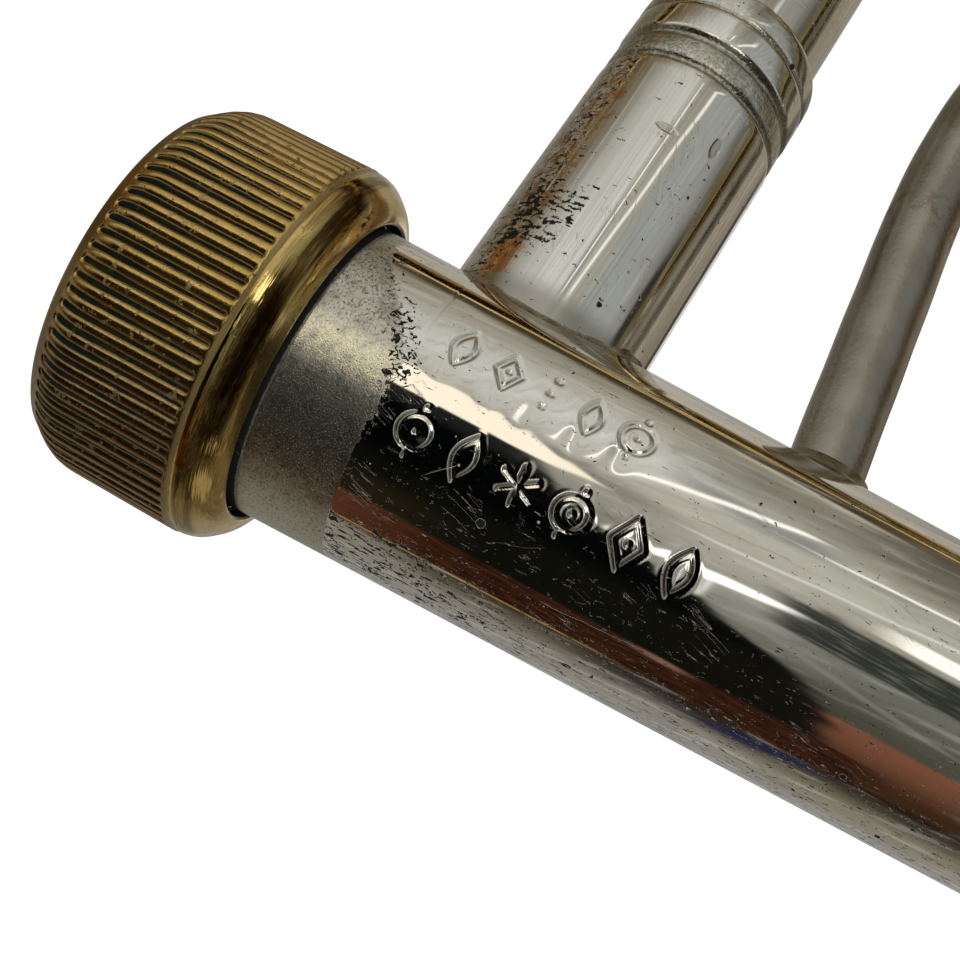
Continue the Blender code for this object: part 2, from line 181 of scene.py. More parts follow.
class G:
    """Writes a node tree."""

    def __init__(self, tree):
        self.t = tree
        self.n = tree.nodes
        self.l = tree.links

    def put(self, socket, value):
        if isinstance(value, F):
            self.l.new(value.s, socket)
        elif value is not None:
            socket.default_value = value

    def math(self, op, *args, clamp=False):
        n = self.n.new("ShaderNodeMath")
        n.operation = op
        n.use_clamp = clamp
        for i, a in enumerate(args):
            self.put(n.inputs[i], a)
        return F(self, n.outputs[0])

    def absf(self, a): return self.math("ABSOLUTE", a)
    def minf(self, a, b): return self.math("MINIMUM", a, b)
    def maxf(self, a, b): return self.math("MAXIMUM", a, b)
    def sqrtf(self, a): return self.math("SQRT", a)
    def atan2(self, a, b): return self.math("ARCTAN2", a, b)
    def sat(self, a): return self.math("ADD", a, 0.0, clamp=True)

    def step(self, x, lo, hi):
        """Smooth step from 0 at lo to 1 at hi; lo may be the larger."""
        n = self.n.new("ShaderNodeMapRange")
        n.interpolation_type = "SMOOTHSTEP"
        flip = isinstance(lo, (int, float)) and isinstance(hi, (int, float)) and lo > hi
        a, b = (hi, lo) if flip else (lo, hi)
        self.put(n.inputs["Value"], x)
        self.put(n.inputs["From Min"], a)
        self.put(n.inputs["From Max"], b)
        n.inputs["To Min"].default_value = 1.0 if flip else 0.0
        n.inputs["To Max"].default_value = 0.0 if flip else 1.0
        return F(self, n.outputs["Result"])

    def band(self, x, lo, hi, soft):
        return self.step(x, lo - soft / 2, lo + soft / 2) * self.step(x, hi + soft / 2, hi - soft / 2)

    def vec(self, x, y, z):
        n = self.n.new("ShaderNodeCombineXYZ")
        for i, a in enumerate((x, y, z)):
            self.put(n.inputs[i], a)
        return F(self, n.outputs[0])

    def split(self, v):
        n = self.n.new("ShaderNodeSeparateXYZ")
        self.put(n.inputs[0], v)
        return tuple(F(self, o) for o in n.outputs)

    def noise(self, v, scale=1.0, detail=2.0, rough=0.5, dist=0.0, kind="FBM"):
        n = self.n.new("ShaderNodeTexNoise")
        n.noise_type = kind
        self.put(n.inputs["Vector"], v)
        n.inputs["Scale"].default_value = scale
        n.inputs["Detail"].default_value = detail
        n.inputs["Roughness"].default_value = rough
        n.inputs["Distortion"].default_value = dist
        return F(self, n.outputs[0])

    def cells(self, v, scale=1.0, feature="F1", rand=1.0, out="Distance"):
        n = self.n.new("ShaderNodeTexVoronoi")
        n.feature = feature
        self.put(n.inputs["Vector"], v)
        n.inputs["Scale"].default_value = scale
        n.inputs["Randomness"].default_value = rand
        return F(self, n.outputs[out])

    def mix(self, a, b, f):
        n = self.n.new("ShaderNodeMix")
        n.data_type = "RGBA"
        self.put(n.inputs[0], f)
        for s, v in ((n.inputs[6], a), (n.inputs[7], b)):
            if isinstance(v, tuple):
                s.default_value = (*v, 1.0) if len(v) == 3 else v
            else:
                self.put(s, v)
        return F(self, n.outputs[2])

    def lerp(self, a, b, f):
        n = self.n.new("ShaderNodeMix")
        n.data_type = "FLOAT"
        self.put(n.inputs[0], f)
        self.put(n.inputs[2], a)
        self.put(n.inputs[3], b)
        return F(self, n.outputs[0])

    def bump(self, height, distance, strength=1.0, normal=None):
        n = self.n.new("ShaderNodeBump")
        n.inputs["Strength"].default_value = strength
        n.inputs["Distance"].default_value = distance
        self.put(n.inputs["Height"], height)
        if normal is not None:
            self.put(n.inputs["Normal"], normal)
        return F(self, n.outputs[0])


def new_material(name):
    m = bpy.data.materials.new(name)
    m.use_nodes = True
    g = G(m.node_tree)
    bsdf = m.node_tree.nodes["Principled BSDF"]
    tc = m.node_tree.nodes.new("ShaderNodeTexCoord")
    p = F(g, tc.outputs["Object"])
    return m, g, bsdf, p


def round_coords(g, p, axis_x):
    """(a in mm, angle in degrees from the bell side towards the front, radius in mm)."""
    x, y, z = g.split(p)
    b = (axis_x * MM - x) * 1000.0
    c = y * -1000.0
    a = (z - H0 * MM) * 1000.0
    ang = g.atan2(c, b) * (180.0 / math.pi)
    rad = g.sqrtf(b * b + c * c)
    return a, ang, rad, b, c


def brushed_scratches(g, v, scale, thin, amount):
    """Thin random scratch lines: ridges of a stretched, turned noise."""
    n = g.noise(v, scale=scale, detail=3.0, rough=0.6)
    d = g.absf(n - 0.5)
    return g.step(d, thin, 0.0) * amount


def scratch(g, a, arc, p, q, width):
    """Mask of one straight hair scratch from p to q, both (a, degrees)."""
    ax, ay = p[0], math.radians(p[1]) * R
    bx, by = q[0], math.radians(q[1]) * R
    length = math.hypot(bx - ax, by - ay)
    ux, uy = (bx - ax) / length, (by - ay) / length
    along = (a - ax) * ux + (arc - ay) * uy
    across_ = (arc - ay) * ux - (a - ax) * uy
    bend = g.noise(g.vec(along * 0.45, float(ax), 0.0), 1.0, 1.0) - 0.5
    return g.step(g.absf(across_ + bend * 0.5), width, width * 0.3) * g.band(along, 0.0, length, 0.5)


def plate_receiver():
    m, g, bsdf, p = new_material("worn_plate_receiver")
    a, ang, rad, b, c = round_coords(g, p, RX)
    ang = ang + g.math("LESS_THAN", ang, -90.0) * 360.0
    arc = ang * (math.pi / 180.0 * R)
    s = g.vec(a, arc, 0.0)                       # unrolled surface, mm
    lump = g.noise(g.vec(a * 0.5, arc * 0.35, 3.0), 1.0, 3.0, 0.6) - 0.5
    fine = g.noise(s, 5.0, 3.0, 0.65) - 0.5
    grit = g.noise(s, 11.0, 2.0, 0.6)
    stain = g.noise(s, 0.75, 4.0, 0.62)
    # --- rubbed satin band beside the lock nut, sharp edged on the front, ragged towards the brace
    rag = 13.2 + g.step(ang, 52.0, 106.0) * 4.4
    raggy = g.step(ang, 116.0, 104.0)
    wob = (g.noise(s, 1.3, 4.0, 0.72) - 0.5) * 2.6 + fine * 0.9
    edge = rag + wob * raggy * 0.50 + (g.noise(s, 3.2, 3.0, 0.75) - 0.5) * g.band(ang, 102.0, 130.0, 7.0) * 2.4
    satin = g.step(a - edge, 0.05, -0.05)
    # --- dark pits
    warpv = g.vec(a * 1.0 + (g.noise(s, 2.0, 2.0, 0.5) - 0.5) * 1.3, arc * 1.25 + (g.noise(s, 2.2, 2.0, 0.5) - 0.5) * 0.9, 0.0)
    worm = g.noise(warpv, 3.0, 2.0, 0.55)
    near = g.band(a - edge, -0.75, 1.05, 0.9) * g.band(ang, 38.0, 114.0, 8.0) * (g.band(ang, 82.0, 112.0, 8.0) * 0.5 + 0.55)
    low1 = g.band(ang, 160.0, 188.0, 5.0) * g.step(a, 38.0, 17.0)
    low2 = g.band(ang, 157.0, 214.0, 6.0)
    clump = g.step(g.noise(s, 0.55, 2.0, 0.5), 0.42, 0.60)
    dens = near * 0.165 + low1 * (clump * 0.085 + 0.03) + low2 * (clump * 0.05 + 0.02)
    dens = dens + g.band(ang, 134.0, 162.0, 6.0) * (g.step(a, 40.0, 17.0) * 0.03 + 0.035) * clump
    pits = g.step(worm - (0.70 - dens), 0.0, 0.016)
    # short dashes lying along the tube low on the front
    across = g.step(ang, 116.0, 128.0)
    dash = g.noise(g.vec(a * 0.75 + (worm - 0.5), arc * 3.4, 11.0), 1.7, 1.0, 0.5)
    dashes = g.step(dash - (0.770 - across * 0.045 - low1 * 0.085 - low2 * 0.065), 0.0, 0.012) * g.step(g.noise(s, 2.3, 1.0), 0.38, 0.46)
    spots = g.cells(g.vec(a * 1.0, arc * 1.0, 0.0), 0.55)
    pr, pg, pb = g.split(g.cells(g.vec(a * 1.0, arc * 1.0, 0.0), 0.55, out="Color"))
    size = pg * pg * 0.13 + 0.035
    isolated = g.step(spots - size + fine * 0.10, 0.010, -0.010) * g.step(pr, 0.76, 0.77)
    dots = g.sat(pits + isolated + dashes)
    # painted shadow: a dark line on the tube just in front of the nut's collar, where the gap under the lip lies in
    # shade; it is added to the pit mask
    line = g.step(a + fine * 0.16, 12.22, 12.04)
    dots = dots * g.step(a, 12.4, 12.9) * g.sat(1.0 - satin * g.step(ang, 108.0, 117.0))
    dots = g.sat(dots + line)
    # --- pale specks stuck to the polished face
    sp2 = g.cells(g.vec(a * 1.3, arc * 1.3, 9.0), 0.9)
    qr, qg, qb = g.split(g.cells(g.vec(a * 1.3, arc * 1.3, 9.0), 0.9, out="Color"))
    dust = g.step(sp2 - (qg * 0.13 + 0.03) + fine * 0.12, 0.012, -0.012) * g.step(qr, 0.66, 0.68)
    dust = dust * g.band(ang, 104.0, 152.0, 8.0) * g.step(a, 36.0, 24.0) * g.sat(1.0 - satin)
    smear = g.step(g.noise(s, 0.9, 4.0, 0.65), 0.60, 0.72) * g.band(ang, 108.0, 152.0, 8.0) * g.step(a, 34.0, 20.0) * g.sat(1.0 - satin)
    # --- hair scratches
    sc = brushed_scratches(g, g.vec(a * 0.10 + arc * 0.10, arc * 1.9 - a * 0.7, 1.0), 0.8, 0.0022, 1.0) * g.step(g.noise(s, 0.30, 1.0), 0.60, 0.68) * 0.6
    for q in (((21.5, 131.0), (22.9, 122.5), 0.035), ((26.5, 140.0), (29.0, 133.0), 0.04), ((28.0, 74.0), (34.0, 71.0), 0.03),
              ((35.0, 100.0), (41.0, 97.0), 0.03), ((30.0, 152.0), (36.0, 150.0), 0.04)):
        sc = g.sat(sc + scratch(g, a, arc, *q))
    # --- colour
    plate = g.mix((0.86, 0.84, 0.79), (0.80, 0.77, 0.70), g.sat(lump * 2.2 + 0.4))
    satin_col = g.mix((0.78, 0.76, 0.69), (0.60, 0.58, 0.50), g.sat(fine * 2.2 + 0.45))
    satin_col = g.mix(satin_col, (0.36, 0.34, 0.28), g.step(stain, 0.46, 0.66) * (g.band(ang, 70.0, 94.0, 10.0) * 0.35 + 0.35))
    satin_col = g.mix(satin_col, (0.17, 0.16, 0.13), g.step(g.noise(s, 1.8, 4.0, 0.68), 0.56, 0.68) * (g.band(ang, 58.0, 92.0, 10.0) * 0.35 + g.step(ang, 108.0, 118.0) * 0.3 + 0.15))
    # painted highlight: a cream glow laid into the satin band's colour between 98 and 113 degrees
    painted_highlight_band = g.band(ang, 98.0, 113.0, 7.0)
    satin_col = g.mix(satin_col, (1.0, 0.96, 0.74), painted_highlight_band * g.step(g.noise(s, 1.6, 3.0, 0.6), 0.70, 0.42) * 0.95)
    # painted shade: the band darkened from 116 to 150 degrees, standing in for the dark room it reflects there
    satin_col = g.mix(satin_col, (0.34, 0.335, 0.26), g.band(ang, 116.0, 150.0, 6.0) * 0.55)
    satin_col = g.mix(satin_col, (0.60, 0.61, 0.46), g.step(ang, 122.0, 150.0) * 0.65)
    # grime worked into the rubbed band: dark blotches in its shaded half, brown grain above and low down
    blotch = g.step(g.noise(g.vec(a, arc, 21.0), 1.1, 5.0, 0.72), 0.47, 0.60) * g.band(ang, 112.0, 162.0, 8.0)
    satin_col = g.mix(satin_col, (0.135, 0.145, 0.110), blotch * 0.50)
    grain = g.step(g.noise(g.vec(a * 1.5, arc, 17.0), 4.6, 3.0, 0.75), 0.515, 0.60)
    where = g.step(ang, 104.0, 90.0) * 0.60 + g.step(ang, 134.0, 150.0) * 0.55 + 0.14
    satin_col = g.mix(satin_col, (0.135, 0.098, 0.055), grain * where)
    satin_col = g.mix(satin_col, (0.50, 0.47, 0.34), g.step(ang, 112.0, 122.0) * 0.22)
    col = g.mix(plate, satin_col, satin)
    micro = g.step(grit, 0.57, 0.66)
    col = g.mix(col, (0.09, 0.085, 0.065), satin * micro * 0.50)
    # near black for the pits and for the painted shadow line at the nut
    col = g.mix(col, (0.010, 0.010, 0.008), dots)
    col = g.mix(col, (0.125, 0.130, 0.112), dust * 0.85)
    col = g.mix(col, (0.93, 0.92, 0.88), sc * 0.3)
    g.put(bsdf.inputs["Base Color"], col)
    g.put(bsdf.inputs["Metallic"], g.sat(1.0 - dots * 0.9 - satin * micro * 0.3 - dust * 0.75 - smear * 0.03))
    rough = 0.035 + g.sat(lump * 0.5 + 0.5) * 0.025 + sc * 0.16
    rough = g.lerp(rough, 0.30 + fine * 0.12, satin)
    rough = g.lerp(rough, 0.24, satin * painted_highlight_band * 0.8)
    rough = g.lerp(rough, 0.58, g.sat(dots + dust))
    g.put(bsdf.inputs["Specular IOR Level"], g.lerp(0.5, 0.08, dots))
    g.put(bsdf.inputs["Roughness"], rough)
    h = (fine * 0.02 + grit * 0.018) * satin - dots * 0.06 - sc * 0.010 + dust * 0.02 - g.step(a - edge, 0.08, -0.02) * 0.014
    soft_wave = g.noise(g.vec(a * 0.16, arc * 0.35, 0.0), 1.0, 1.0, 0.5) * 0.010
    g.put(bsdf.inputs["Normal"], g.bump(h + soft_wave, 0.001, 1.0))
    return m


def plate_socket(name, root_x, sign):
    """Plated brace socket; b runs from the tube it is soldered to."""
    m, g, bsdf, p = new_material(name)
    x, y, z = g.split(p)
    b = (root_x * MM - x) * 1000.0 if sign > 0 else (x - root_x * MM) * 1000.0
    c = y * -1000.0
    a = (z - (H0 + BRACE_A) * MM) * 1000.0
    ang = g.atan2(c, a) * (180.0 / math.pi)       # 0 to the rear of the horn, 90 front, 180 towards the nut
    ang = ang + g.math("LESS_THAN", ang, -60.0) * 360.0
    arc = ang * (math.pi / 180.0 * 6.35)
    s = g.vec(b, arc, 0.0)
    fine = g.noise(s, 5.0, 3.0, 0.6) - 0.5
    lump = g.noise(g.vec(b * 0.3, arc * 0.4, 5.0), 1.0, 3.0, 0.6) - 0.5
    # plating eaten through on the nut side
    ragged = (g.noise(s, 0.8, 4.0, 0.65) - 0.5) * 34.0
    flank = g.step(ang + ragged, 122.0, 137.0) * (g.step(b, 30.5, 26.5) * 0.85 + 0.15)
    edge_on = g.step(ang, 156.0, 136.0) * 0.78 + 0.22
    # pits pulled out along the tube's girth
    grain = g.noise(g.vec(b * 2.0 + fine * 1.0, arc * 0.95 + (g.noise(s, 1.3, 2.0) - 0.5) * 1.6, 2.0), 1.45, 3.0, 0.60)
    fade = g.step(b, 33.0, 12.0)
    spread = g.band(ang + ragged * 0.45, 100.0, 136.0, 12.0) * g.band(b, 10.8, 16.2, 2.2)
    dens = spread * 0.130 + flank * edge_on * 0.085 + g.step(ang + ragged * 0.4, 96.0, 128.0) * fade * edge_on * 0.05 + 0.02
    pits = g.step(grain - (0.70 - dens), 0.0, 0.02)
    crust = g.step(g.noise(s, 2.1, 4.0, 0.70), 0.45, 0.60) * flank * edge_on
    worn = g.step(g.noise(g.vec(b * 0.8, arc * 1.0, 9.0), 0.9, 4.0, 0.66), 0.45, 0.53) * flank * edge_on
    rust = g.step(g.noise(g.vec(b * 1.0, arc * 0.9, 3.0), 1.1, 3.0, 0.6), 0.56, 0.62) * g.band(ang + ragged * 0.5, 116.0, 138.0, 8.0) * g.step(b, 28.0, 25.0)
    rust = g.sat(rust * 0.8 + g.band(b + fine * 0.8, 8.6, 11.4, 0.6) * g.band(ang + ragged * 0.2, 119.0, 133.0, 3.0))
    spots = g.cells(g.vec(b, arc * 1.1, 0.0), 0.50)
    pr, pg, pb = g.split(g.cells(g.vec(b, arc * 1.1, 0.0), 0.50, out="Color"))
    isolated = g.step(spots - (pg * 0.12 + 0.025) + fine * 0.08, 0.010, -0.010) * g.step(pr, 0.72, 0.73)
    # two small oval dings
    o1 = g.sqrtf((b - 24.0) * (b - 24.0) * 0.8 + (arc - 58.0 * 0.1108) * (arc - 58.0 * 0.1108) * 6.0)
    o2 = g.sqrtf((b - 22.8) * (b - 22.8) * 5.0 + (arc - 87.0 * 0.1108) * (arc - 87.0 * 0.1108) * 0.9)
    ding = g.sat(g.step(o1, 0.95, 0.55) + g.step(o2, 0.85, 0.50))
    dots = g.sat(pits + isolated)
    sc = brushed_scratches(g, g.vec(b * 0.12 + arc * 0.1, arc * 1.7 - b * 0.6, 4.0), 0.8, 0.003, 1.0) * g.step(g.noise(s, 0.3, 1.0), 0.52, 0.62)
    # tarnish held in the turned grooves
    mott = g.sat(g.noise(s, 2.2, 4.0, 0.66) * 3.0 - 0.95)
    groove = g.sat(g.band(b, 28.02, 28.75, 0.22) + g.band(b, 30.25, 31.1, 0.22) + g.band(b, 33.4, 33.75, 0.15))
    ringband = g.band(b, 28.7, 30.3, 0.25)
    lip = g.band(b, 33.7, 36.2, 0.3)
    root = g.step(b, 9.4, 7.6)
    plate = g.mix((0.86, 0.84, 0.79), (0.80, 0.77, 0.70), g.sat(lump * 2.0 + 0.4))
    col = g.mix(plate, (0.47, 0.275, 0.12), worn * 0.85)
    col = g.mix(col, (0.78, 0.36, 0.09), rust * 0.8)
    col = g.mix(col, (0.20, 0.155, 0.095), crust * 0.72)
    col = g.mix(col, (0.33, 0.34, 0.25), ringband * mott * 0.85)
    col = g.mix(col, (0.26, 0.25, 0.17), groove * g.sat(mott * 0.6 + 0.3))
    col = g.mix(col, (0.45, 0.44, 0.36), lip * mott * 0.5)
    col = g.mix(col, (0.10, 0.075, 0.04), root * 0.5)
    col = g.mix(col, (0.012, 0.011, 0.008), dots)
    col = g.mix(col, (0.42, 0.41, 0.34), ding * 0.55)
    # painted shade: the top rings darkened on the rear-facing side, from -6 to 17 degrees, standing in for a dark
    # reflection
    col = g.mix(col, (0.16, 0.14, 0.10), g.band(ang, -6.0, 17.0, 6.0) * g.step(b, 29.0, 32.0) * 0.75)
    g.put(bsdf.inputs["Specular IOR Level"], g.lerp(0.5, 0.08, dots))
    g.put(bsdf.inputs["Base Color"], col)
    g.put(bsdf.inputs["Metallic"], g.sat(1.0 - dots * 0.88 - crust * 0.4))
    rough = g.sat(0.045 + g.sat(lump * 0.5 + 0.5) * 0.03 + sc * 0.16 + worn * 0.14 + crust * 0.30 + groove * 0.07 + ringband * mott * 0.14 + lip * 0.04 + root * 0.12)
    g.put(bsdf.inputs["Roughness"], g.lerp(rough, 0.6, dots))
    h = (g.noise(g.vec(b * 0.14, arc * 0.3, 1.0), 1.0, 1.0) * 0.012 - dots * 0.045 - sc * 0.010 + worn * fine * 0.03
         - crust * 0.018 + (groove + ringband) * fine * 0.05 - ding * 0.045)
    g.put(bsdf.inputs["Normal"], g.bump(h, 0.001, 1.0))
    return m


def nut_brass():
    m, g, bsdf, p = new_material("aged_brass_nut")
    a, ang, rad, b, c = round_coords(g, p, RX)
    ang = ang + g.math("LESS_THAN", ang, -90.0) * 360.0
    arc = ang * (math.pi / 180.0 * 11.7)
    s = g.vec(a, arc, rad)
    shoulder = g.math("POWER", g.maxf(0.0, (3.0 - a) / 1.5), 2.2) * 0.40
    line = 11.600 + (a - 3.0) * 0.0370 - shoulder
    depth = line - rad
    fluted = g.band(a, 1.10, 9.38, 0.12)
    fine = g.noise(s, 3.0, 4.0, 0.65) - 0.5
    patch = g.noise(s, 0.35, 3.0, 0.6)
    grime = g.noise(g.vec(a * 0.8, arc * 0.5, 5.0), 1.0, 4.0, 0.65)
    reach = 0.132 + g.step(a, 2.4, 6.0) * 0.050 + (grime - 0.5) * 0.15 + fine * 0.03
    groove = g.step(depth - reach, -0.035, 0.055) * fluted
    collar = g.step(a, 9.46, 9.66)
    border = g.band(a, 9.43, 9.68, 0.10)
    rim = g.step(a, 1.10, 0.95)
    inside = g.sat(g.step(rad, 10.3, 10.2) * g.step(a, 11.2, 11.0) + g.step(rad, 9.74, 9.60))
    brass = g.mix((0.76, 0.530, 0.190), (0.58, 0.395, 0.125), g.sat(patch * 2.2 - 0.55))
    brass = g.mix(brass, (0.34, 0.240, 0.090), g.sat(fine * 2.2 + 0.05) * 0.6)
    brass = g.mix(brass, (0.36, 0.250, 0.105), g.band(ang, 36.0, 66.0, 8.0) * 0.6)
    # painted reflection: the flutes darkened from 118 to 152 degrees, standing in for the dark room they mirror
    lower_flutes_painted_shade = g.step(ang, 118.0, 152.0)
    brass = g.mix(brass, (0.205, 0.140, 0.082), lower_flutes_painted_shade * 0.72)
    polish = g.mix((0.80, 0.595, 0.250), (0.66, 0.455, 0.150), g.sat(patch * 2.2 - 0.6))
    # painted reflection: dark brown bands laid into the polished collar where it would mirror the dark room, broken by
    # streaks
    collar_painted_shade = g.band(a, 10.55, 11.35, 0.30) * g.band(ang, 56.0, 150.0, 14.0) + g.band(a, 9.9, 10.8, 0.3) * (g.band(ang, 36.0, 68.0, 8.0) * 0.8 + g.band(ang, 160.0, 196.0, 8.0) * 0.7)
    streak = g.noise(g.vec(a * 4.2, arc * 0.16, 3.0), 1.0, 3.0, 0.6)
    collar_painted_shade = collar_painted_shade * (g.step(streak, 0.60, 0.48) * 0.45 + 0.60)
    polish = g.mix(polish, (0.07, 0.036, 0.005), g.sat(collar_painted_shade * (1.30 - patch * 0.6)) * 0.93)
    col = g.mix(brass, polish, collar)
    col = g.mix(col, (0.30, 0.20, 0.10), rim * 0.7)
    col = g.mix(col, g.mix((0.006, 0.013, 0.009), (0.020, 0.015, 0.006), g.step(grime, 0.42, 0.62)), groove * 0.995)
    col = g.mix(col, (0.07, 0.055, 0.03), border * 0.6)
    blotch = g.step(g.noise(g.vec(a * 1.4, arc * 0.9, 1.0), 1.3, 4.0, 0.66), 0.60, 0.66) * fluted
    col = g.mix(col, (0.030, 0.034, 0.016), blotch * 0.55)
    # painted shadow: the collar lip's inner face, round the gap to the tube, made near black
    col = g.mix(col, (0.012, 0.010, 0.006), g.step(rad, 9.74, 9.60) * 0.97)
    g.put(bsdf.inputs["Specular IOR Level"], g.lerp(0.5, 0.06, groove))
    specks = g.step(g.noise(g.vec(a * 2.2, arc * 1.3, 1.0), 1.6, 3.0, 0.6), 0.67, 0.71) * g.sat(1.0 - collar * 0.6)
    col = g.mix(col, (0.08, 0.055, 0.028), specks * 0.7)
    g.put(bsdf.inputs["Base Color"], col)
    g.put(bsdf.inputs["Metallic"], g.sat(1.0 - groove * 0.75 - border * 0.3 - blotch * 0.3))
    rough = g.lerp(0.19 + g.sat(fine + 0.5) * 0.12, 0.035 + g.sat(fine + 0.5) * 0.04, collar)
    rough = g.lerp(rough, 0.30, rim)
    rough = g.lerp(rough, 0.66, groove)
    rough = g.lerp(rough, 0.5, g.sat(specks * 0.7 + inside * 0.5))
    g.put(bsdf.inputs["Roughness"], rough)
    lines = g.noise(g.vec(a * 5.0, arc * 0.22, 0.0), 1.6, 2.0) * 0.022 * collar
    h = fine * 0.018 * g.sat(1.0 - collar * 0.92) + lines - specks * 0.015 - blotch * 0.012
    g.put(bsdf.inputs["Normal"], g.bump(h, 0.001, 1.0))
    return m


def rod_metal():
    m, g, bsdf, p = new_material("dull_rod_metal")
    x, y, z = g.split(p)
    b = (RX * MM - x) * 1000.0
    s = g.vec(b, y * 1000.0, z * 1000.0)
    fine = g.noise(s, 3.2, 4.0, 0.65) - 0.5
    patch = g.noise(s, 0.28, 3.0, 0.55)
    col = g.mix((0.43, 0.395, 0.345), (0.31, 0.275, 0.23), g.sat(patch * 2.0 - 0.5))
    col = g.mix(col, (0.50, 0.46, 0.41), g.sat(fine * 1.6) * 0.5)
    stain = g.band(b, 29.5, 32.0, 1.6) * g.step(g.noise(s, 0.9, 3.0, 0.6), 0.45, 0.62)
    col = g.mix(col, (0.20, 0.135, 0.08), stain * 0.6)
    g.put(bsdf.inputs["Base Color"], col)
    bsdf.inputs["Metallic"].default_value = 1.0
    g.put(bsdf.inputs["Roughness"], g.sat(0.22 + fine * 0.22 + stain * 0.15))
    drawn = g.noise(g.vec(b * 0.2, y * 5000.0, z * 5000.0), 1.0, 2.0) * 0.006
    g.put(bsdf.inputs["Normal"], g.bump(fine * 0.03 + drawn, 0.001, 1.0))
    return m


def nickel(name, tone=(0.80, 0.77, 0.70), tone2=(0.70, 0.66, 0.58), shine=0.09):
    m, g, bsdf, p = new_material(name)
    x, y, z = g.split(p)
    s = g.vec(x * 1000.0, y * 1000.0, z * 1000.0)
    fine = g.noise(s, 3.5, 4.0, 0.6) - 0.5
    patch = g.noise(s, 0.12, 3.0, 0.55)
    sc = brushed_scratches(g, g.vec(x * 90.0 + z * 70.0, y * 1500.0 - z * 500.0, x * 1300.0), 1.0, 0.006, 1.0) * g.step(g.noise(s, 0.2, 1.0), 0.48, 0.62)
    spots = g.step(g.noise(s, 1.3, 2.0, 0.5), 0.70, 0.73)
    col = g.mix(tone, tone2, g.sat(patch * 2.2 - 0.6))
    col = g.mix(col, (0.12, 0.10, 0.07), spots * 0.6)
    g.put(bsdf.inputs["Base Color"], col)
    g.put(bsdf.inputs["Metallic"], g.sat(1.0 - spots * 0.5))
    g.put(bsdf.inputs["Roughness"], g.sat(shine + g.sat(patch - 0.3) * 0.10 + fine * 0.05 + sc * 0.18 + spots * 0.3))
    h = g.noise(s, 0.22, 1.0) * 0.02 - sc * 0.012 - spots * 0.02
    g.put(bsdf.inputs["Normal"], g.bump(h, 0.001, 1.0))
    return m


def polished_brass(name, tone=(0.83, 0.61, 0.27), tone2=(0.74, 0.50, 0.20)):
    m, g, bsdf, p = new_material(name)
    x, y, z = g.split(p)
    s = g.vec(x * 1000.0, y * 1000.0, z * 1000.0)
    fine = g.noise(s, 2.5, 4.0, 0.6) - 0.5
    patch = g.noise(s, 0.035, 4.0, 0.6)
    bare = g.step(g.noise(s, 0.09, 5.0, 0.68), 0.64, 0.68)          # lacquer gone
    spots = g.step(g.noise(s, 0.9, 2.0, 0.5), 0.715, 0.74)
    sc = brushed_scratches(g, g.vec(x * 60.0, y * 900.0 + z * 300.0, z * 90.0 - x * 700.0), 1.0, 0.006, 1.0) * g.step(g.noise(s, 0.12, 1.0), 0.46, 0.62)
    col = g.mix(tone, tone2, g.sat(patch * 2.4 - 0.7))
    col = g.mix(col, (0.50, 0.33, 0.14), bare * 0.75)
    col = g.mix(col, (0.16, 0.10, 0.05), spots * 0.7)
    g.put(bsdf.inputs["Base Color"], col)
    g.put(bsdf.inputs["Metallic"], g.sat(1.0 - spots * 0.4))
    g.put(bsdf.inputs["Roughness"], g.sat(0.10 + bare * 0.20 + fine * 0.05 + sc * 0.18 + spots * 0.25))
    h = g.noise(s, 0.06, 1.0) * 0.05 - sc * 0.012 - bare * 0.012
    g.put(bsdf.inputs["Normal"], g.bump(h, 0.001, 1.0))
    return m


def solder_metal():
    m, g, bsdf, p = new_material("solder_fillet")
    x, y, z = g.split(p)
    s = g.vec(x * 1000.0, y * 1000.0, z * 1000.0)
    fine = g.noise(s, 2.2, 4.0, 0.65)
    patch = g.noise(s, 0.6, 3.0, 0.6)
    col = g.mix((0.60, 0.56, 0.48), (0.26, 0.20, 0.12), g.step(patch, 0.36, 0.72))
    col = g.mix(col, (0.06, 0.05, 0.035), g.step(fine, 0.60, 0.70) * 0.8)
    # painted shadow: the fillet's end above about 26.4 mm from the nut's front plane darkened nearly black
    col = g.mix(col, (0.045, 0.030, 0.016), g.step((z - H0 * MM) * 1000.0 + (patch - 0.5) * 2.0, 26.4, 27.6) * 0.85)
    g.put(bsdf.inputs["Base Color"], col)
    bsdf.inputs["Metallic"].default_value = 0.95
    g.put(bsdf.inputs["Roughness"], g.sat(0.14 + g.step(patch, 0.42, 0.60) * 0.22 + (fine - 0.5) * 0.2))
    g.put(bsdf.inputs["Normal"], g.bump(fine * 0.06, 0.001, 1.0))
    return m


MAT_RECEIVER = plate_receiver()
MAT_SOCKET_A = plate_socket("worn_plate_socket", RX, 1)
MAT_SOCKET_B = plate_socket("worn_plate_socket_bell", BX, -1)
MAT_NUT = nut_brass()
MAT_ROD = rod_metal()
MAT_NICKEL = nickel("polished_nickel_silver")
MAT_BRACE = nickel("plated_brace_tube", (0.84, 0.81, 0.75), (0.74, 0.69, 0.60), 0.06)
MAT_BELL = polished_brass("lacquered_bell_brass")
MAT_PIPE = polished_brass("lacquered_pipe_brass", (0.82, 0.60, 0.28), (0.70, 0.47, 0.19))
MAT_SOLDER = solder_metal()


# ============================================================ receiver tube
def seg_dist(u, v, p, q):
    du, dv = q[0] - p[0], q[1] - p[1]
    L = du * du + dv * dv
    t = np.clip(((u - p[0]) * du + (v - p[1]) * dv) / max(L, 1e-9), 0, 1)
    return np.hypot(u - p[0] - t * du, v - p[1] - t * dv)


def arc_points(cu, cv, ru, rv, t0, t1, n=18):
    return [(cu + ru * math.cos(t), cv + rv * math.sin(t)) for t in np.linspace(t0, t1, n)]


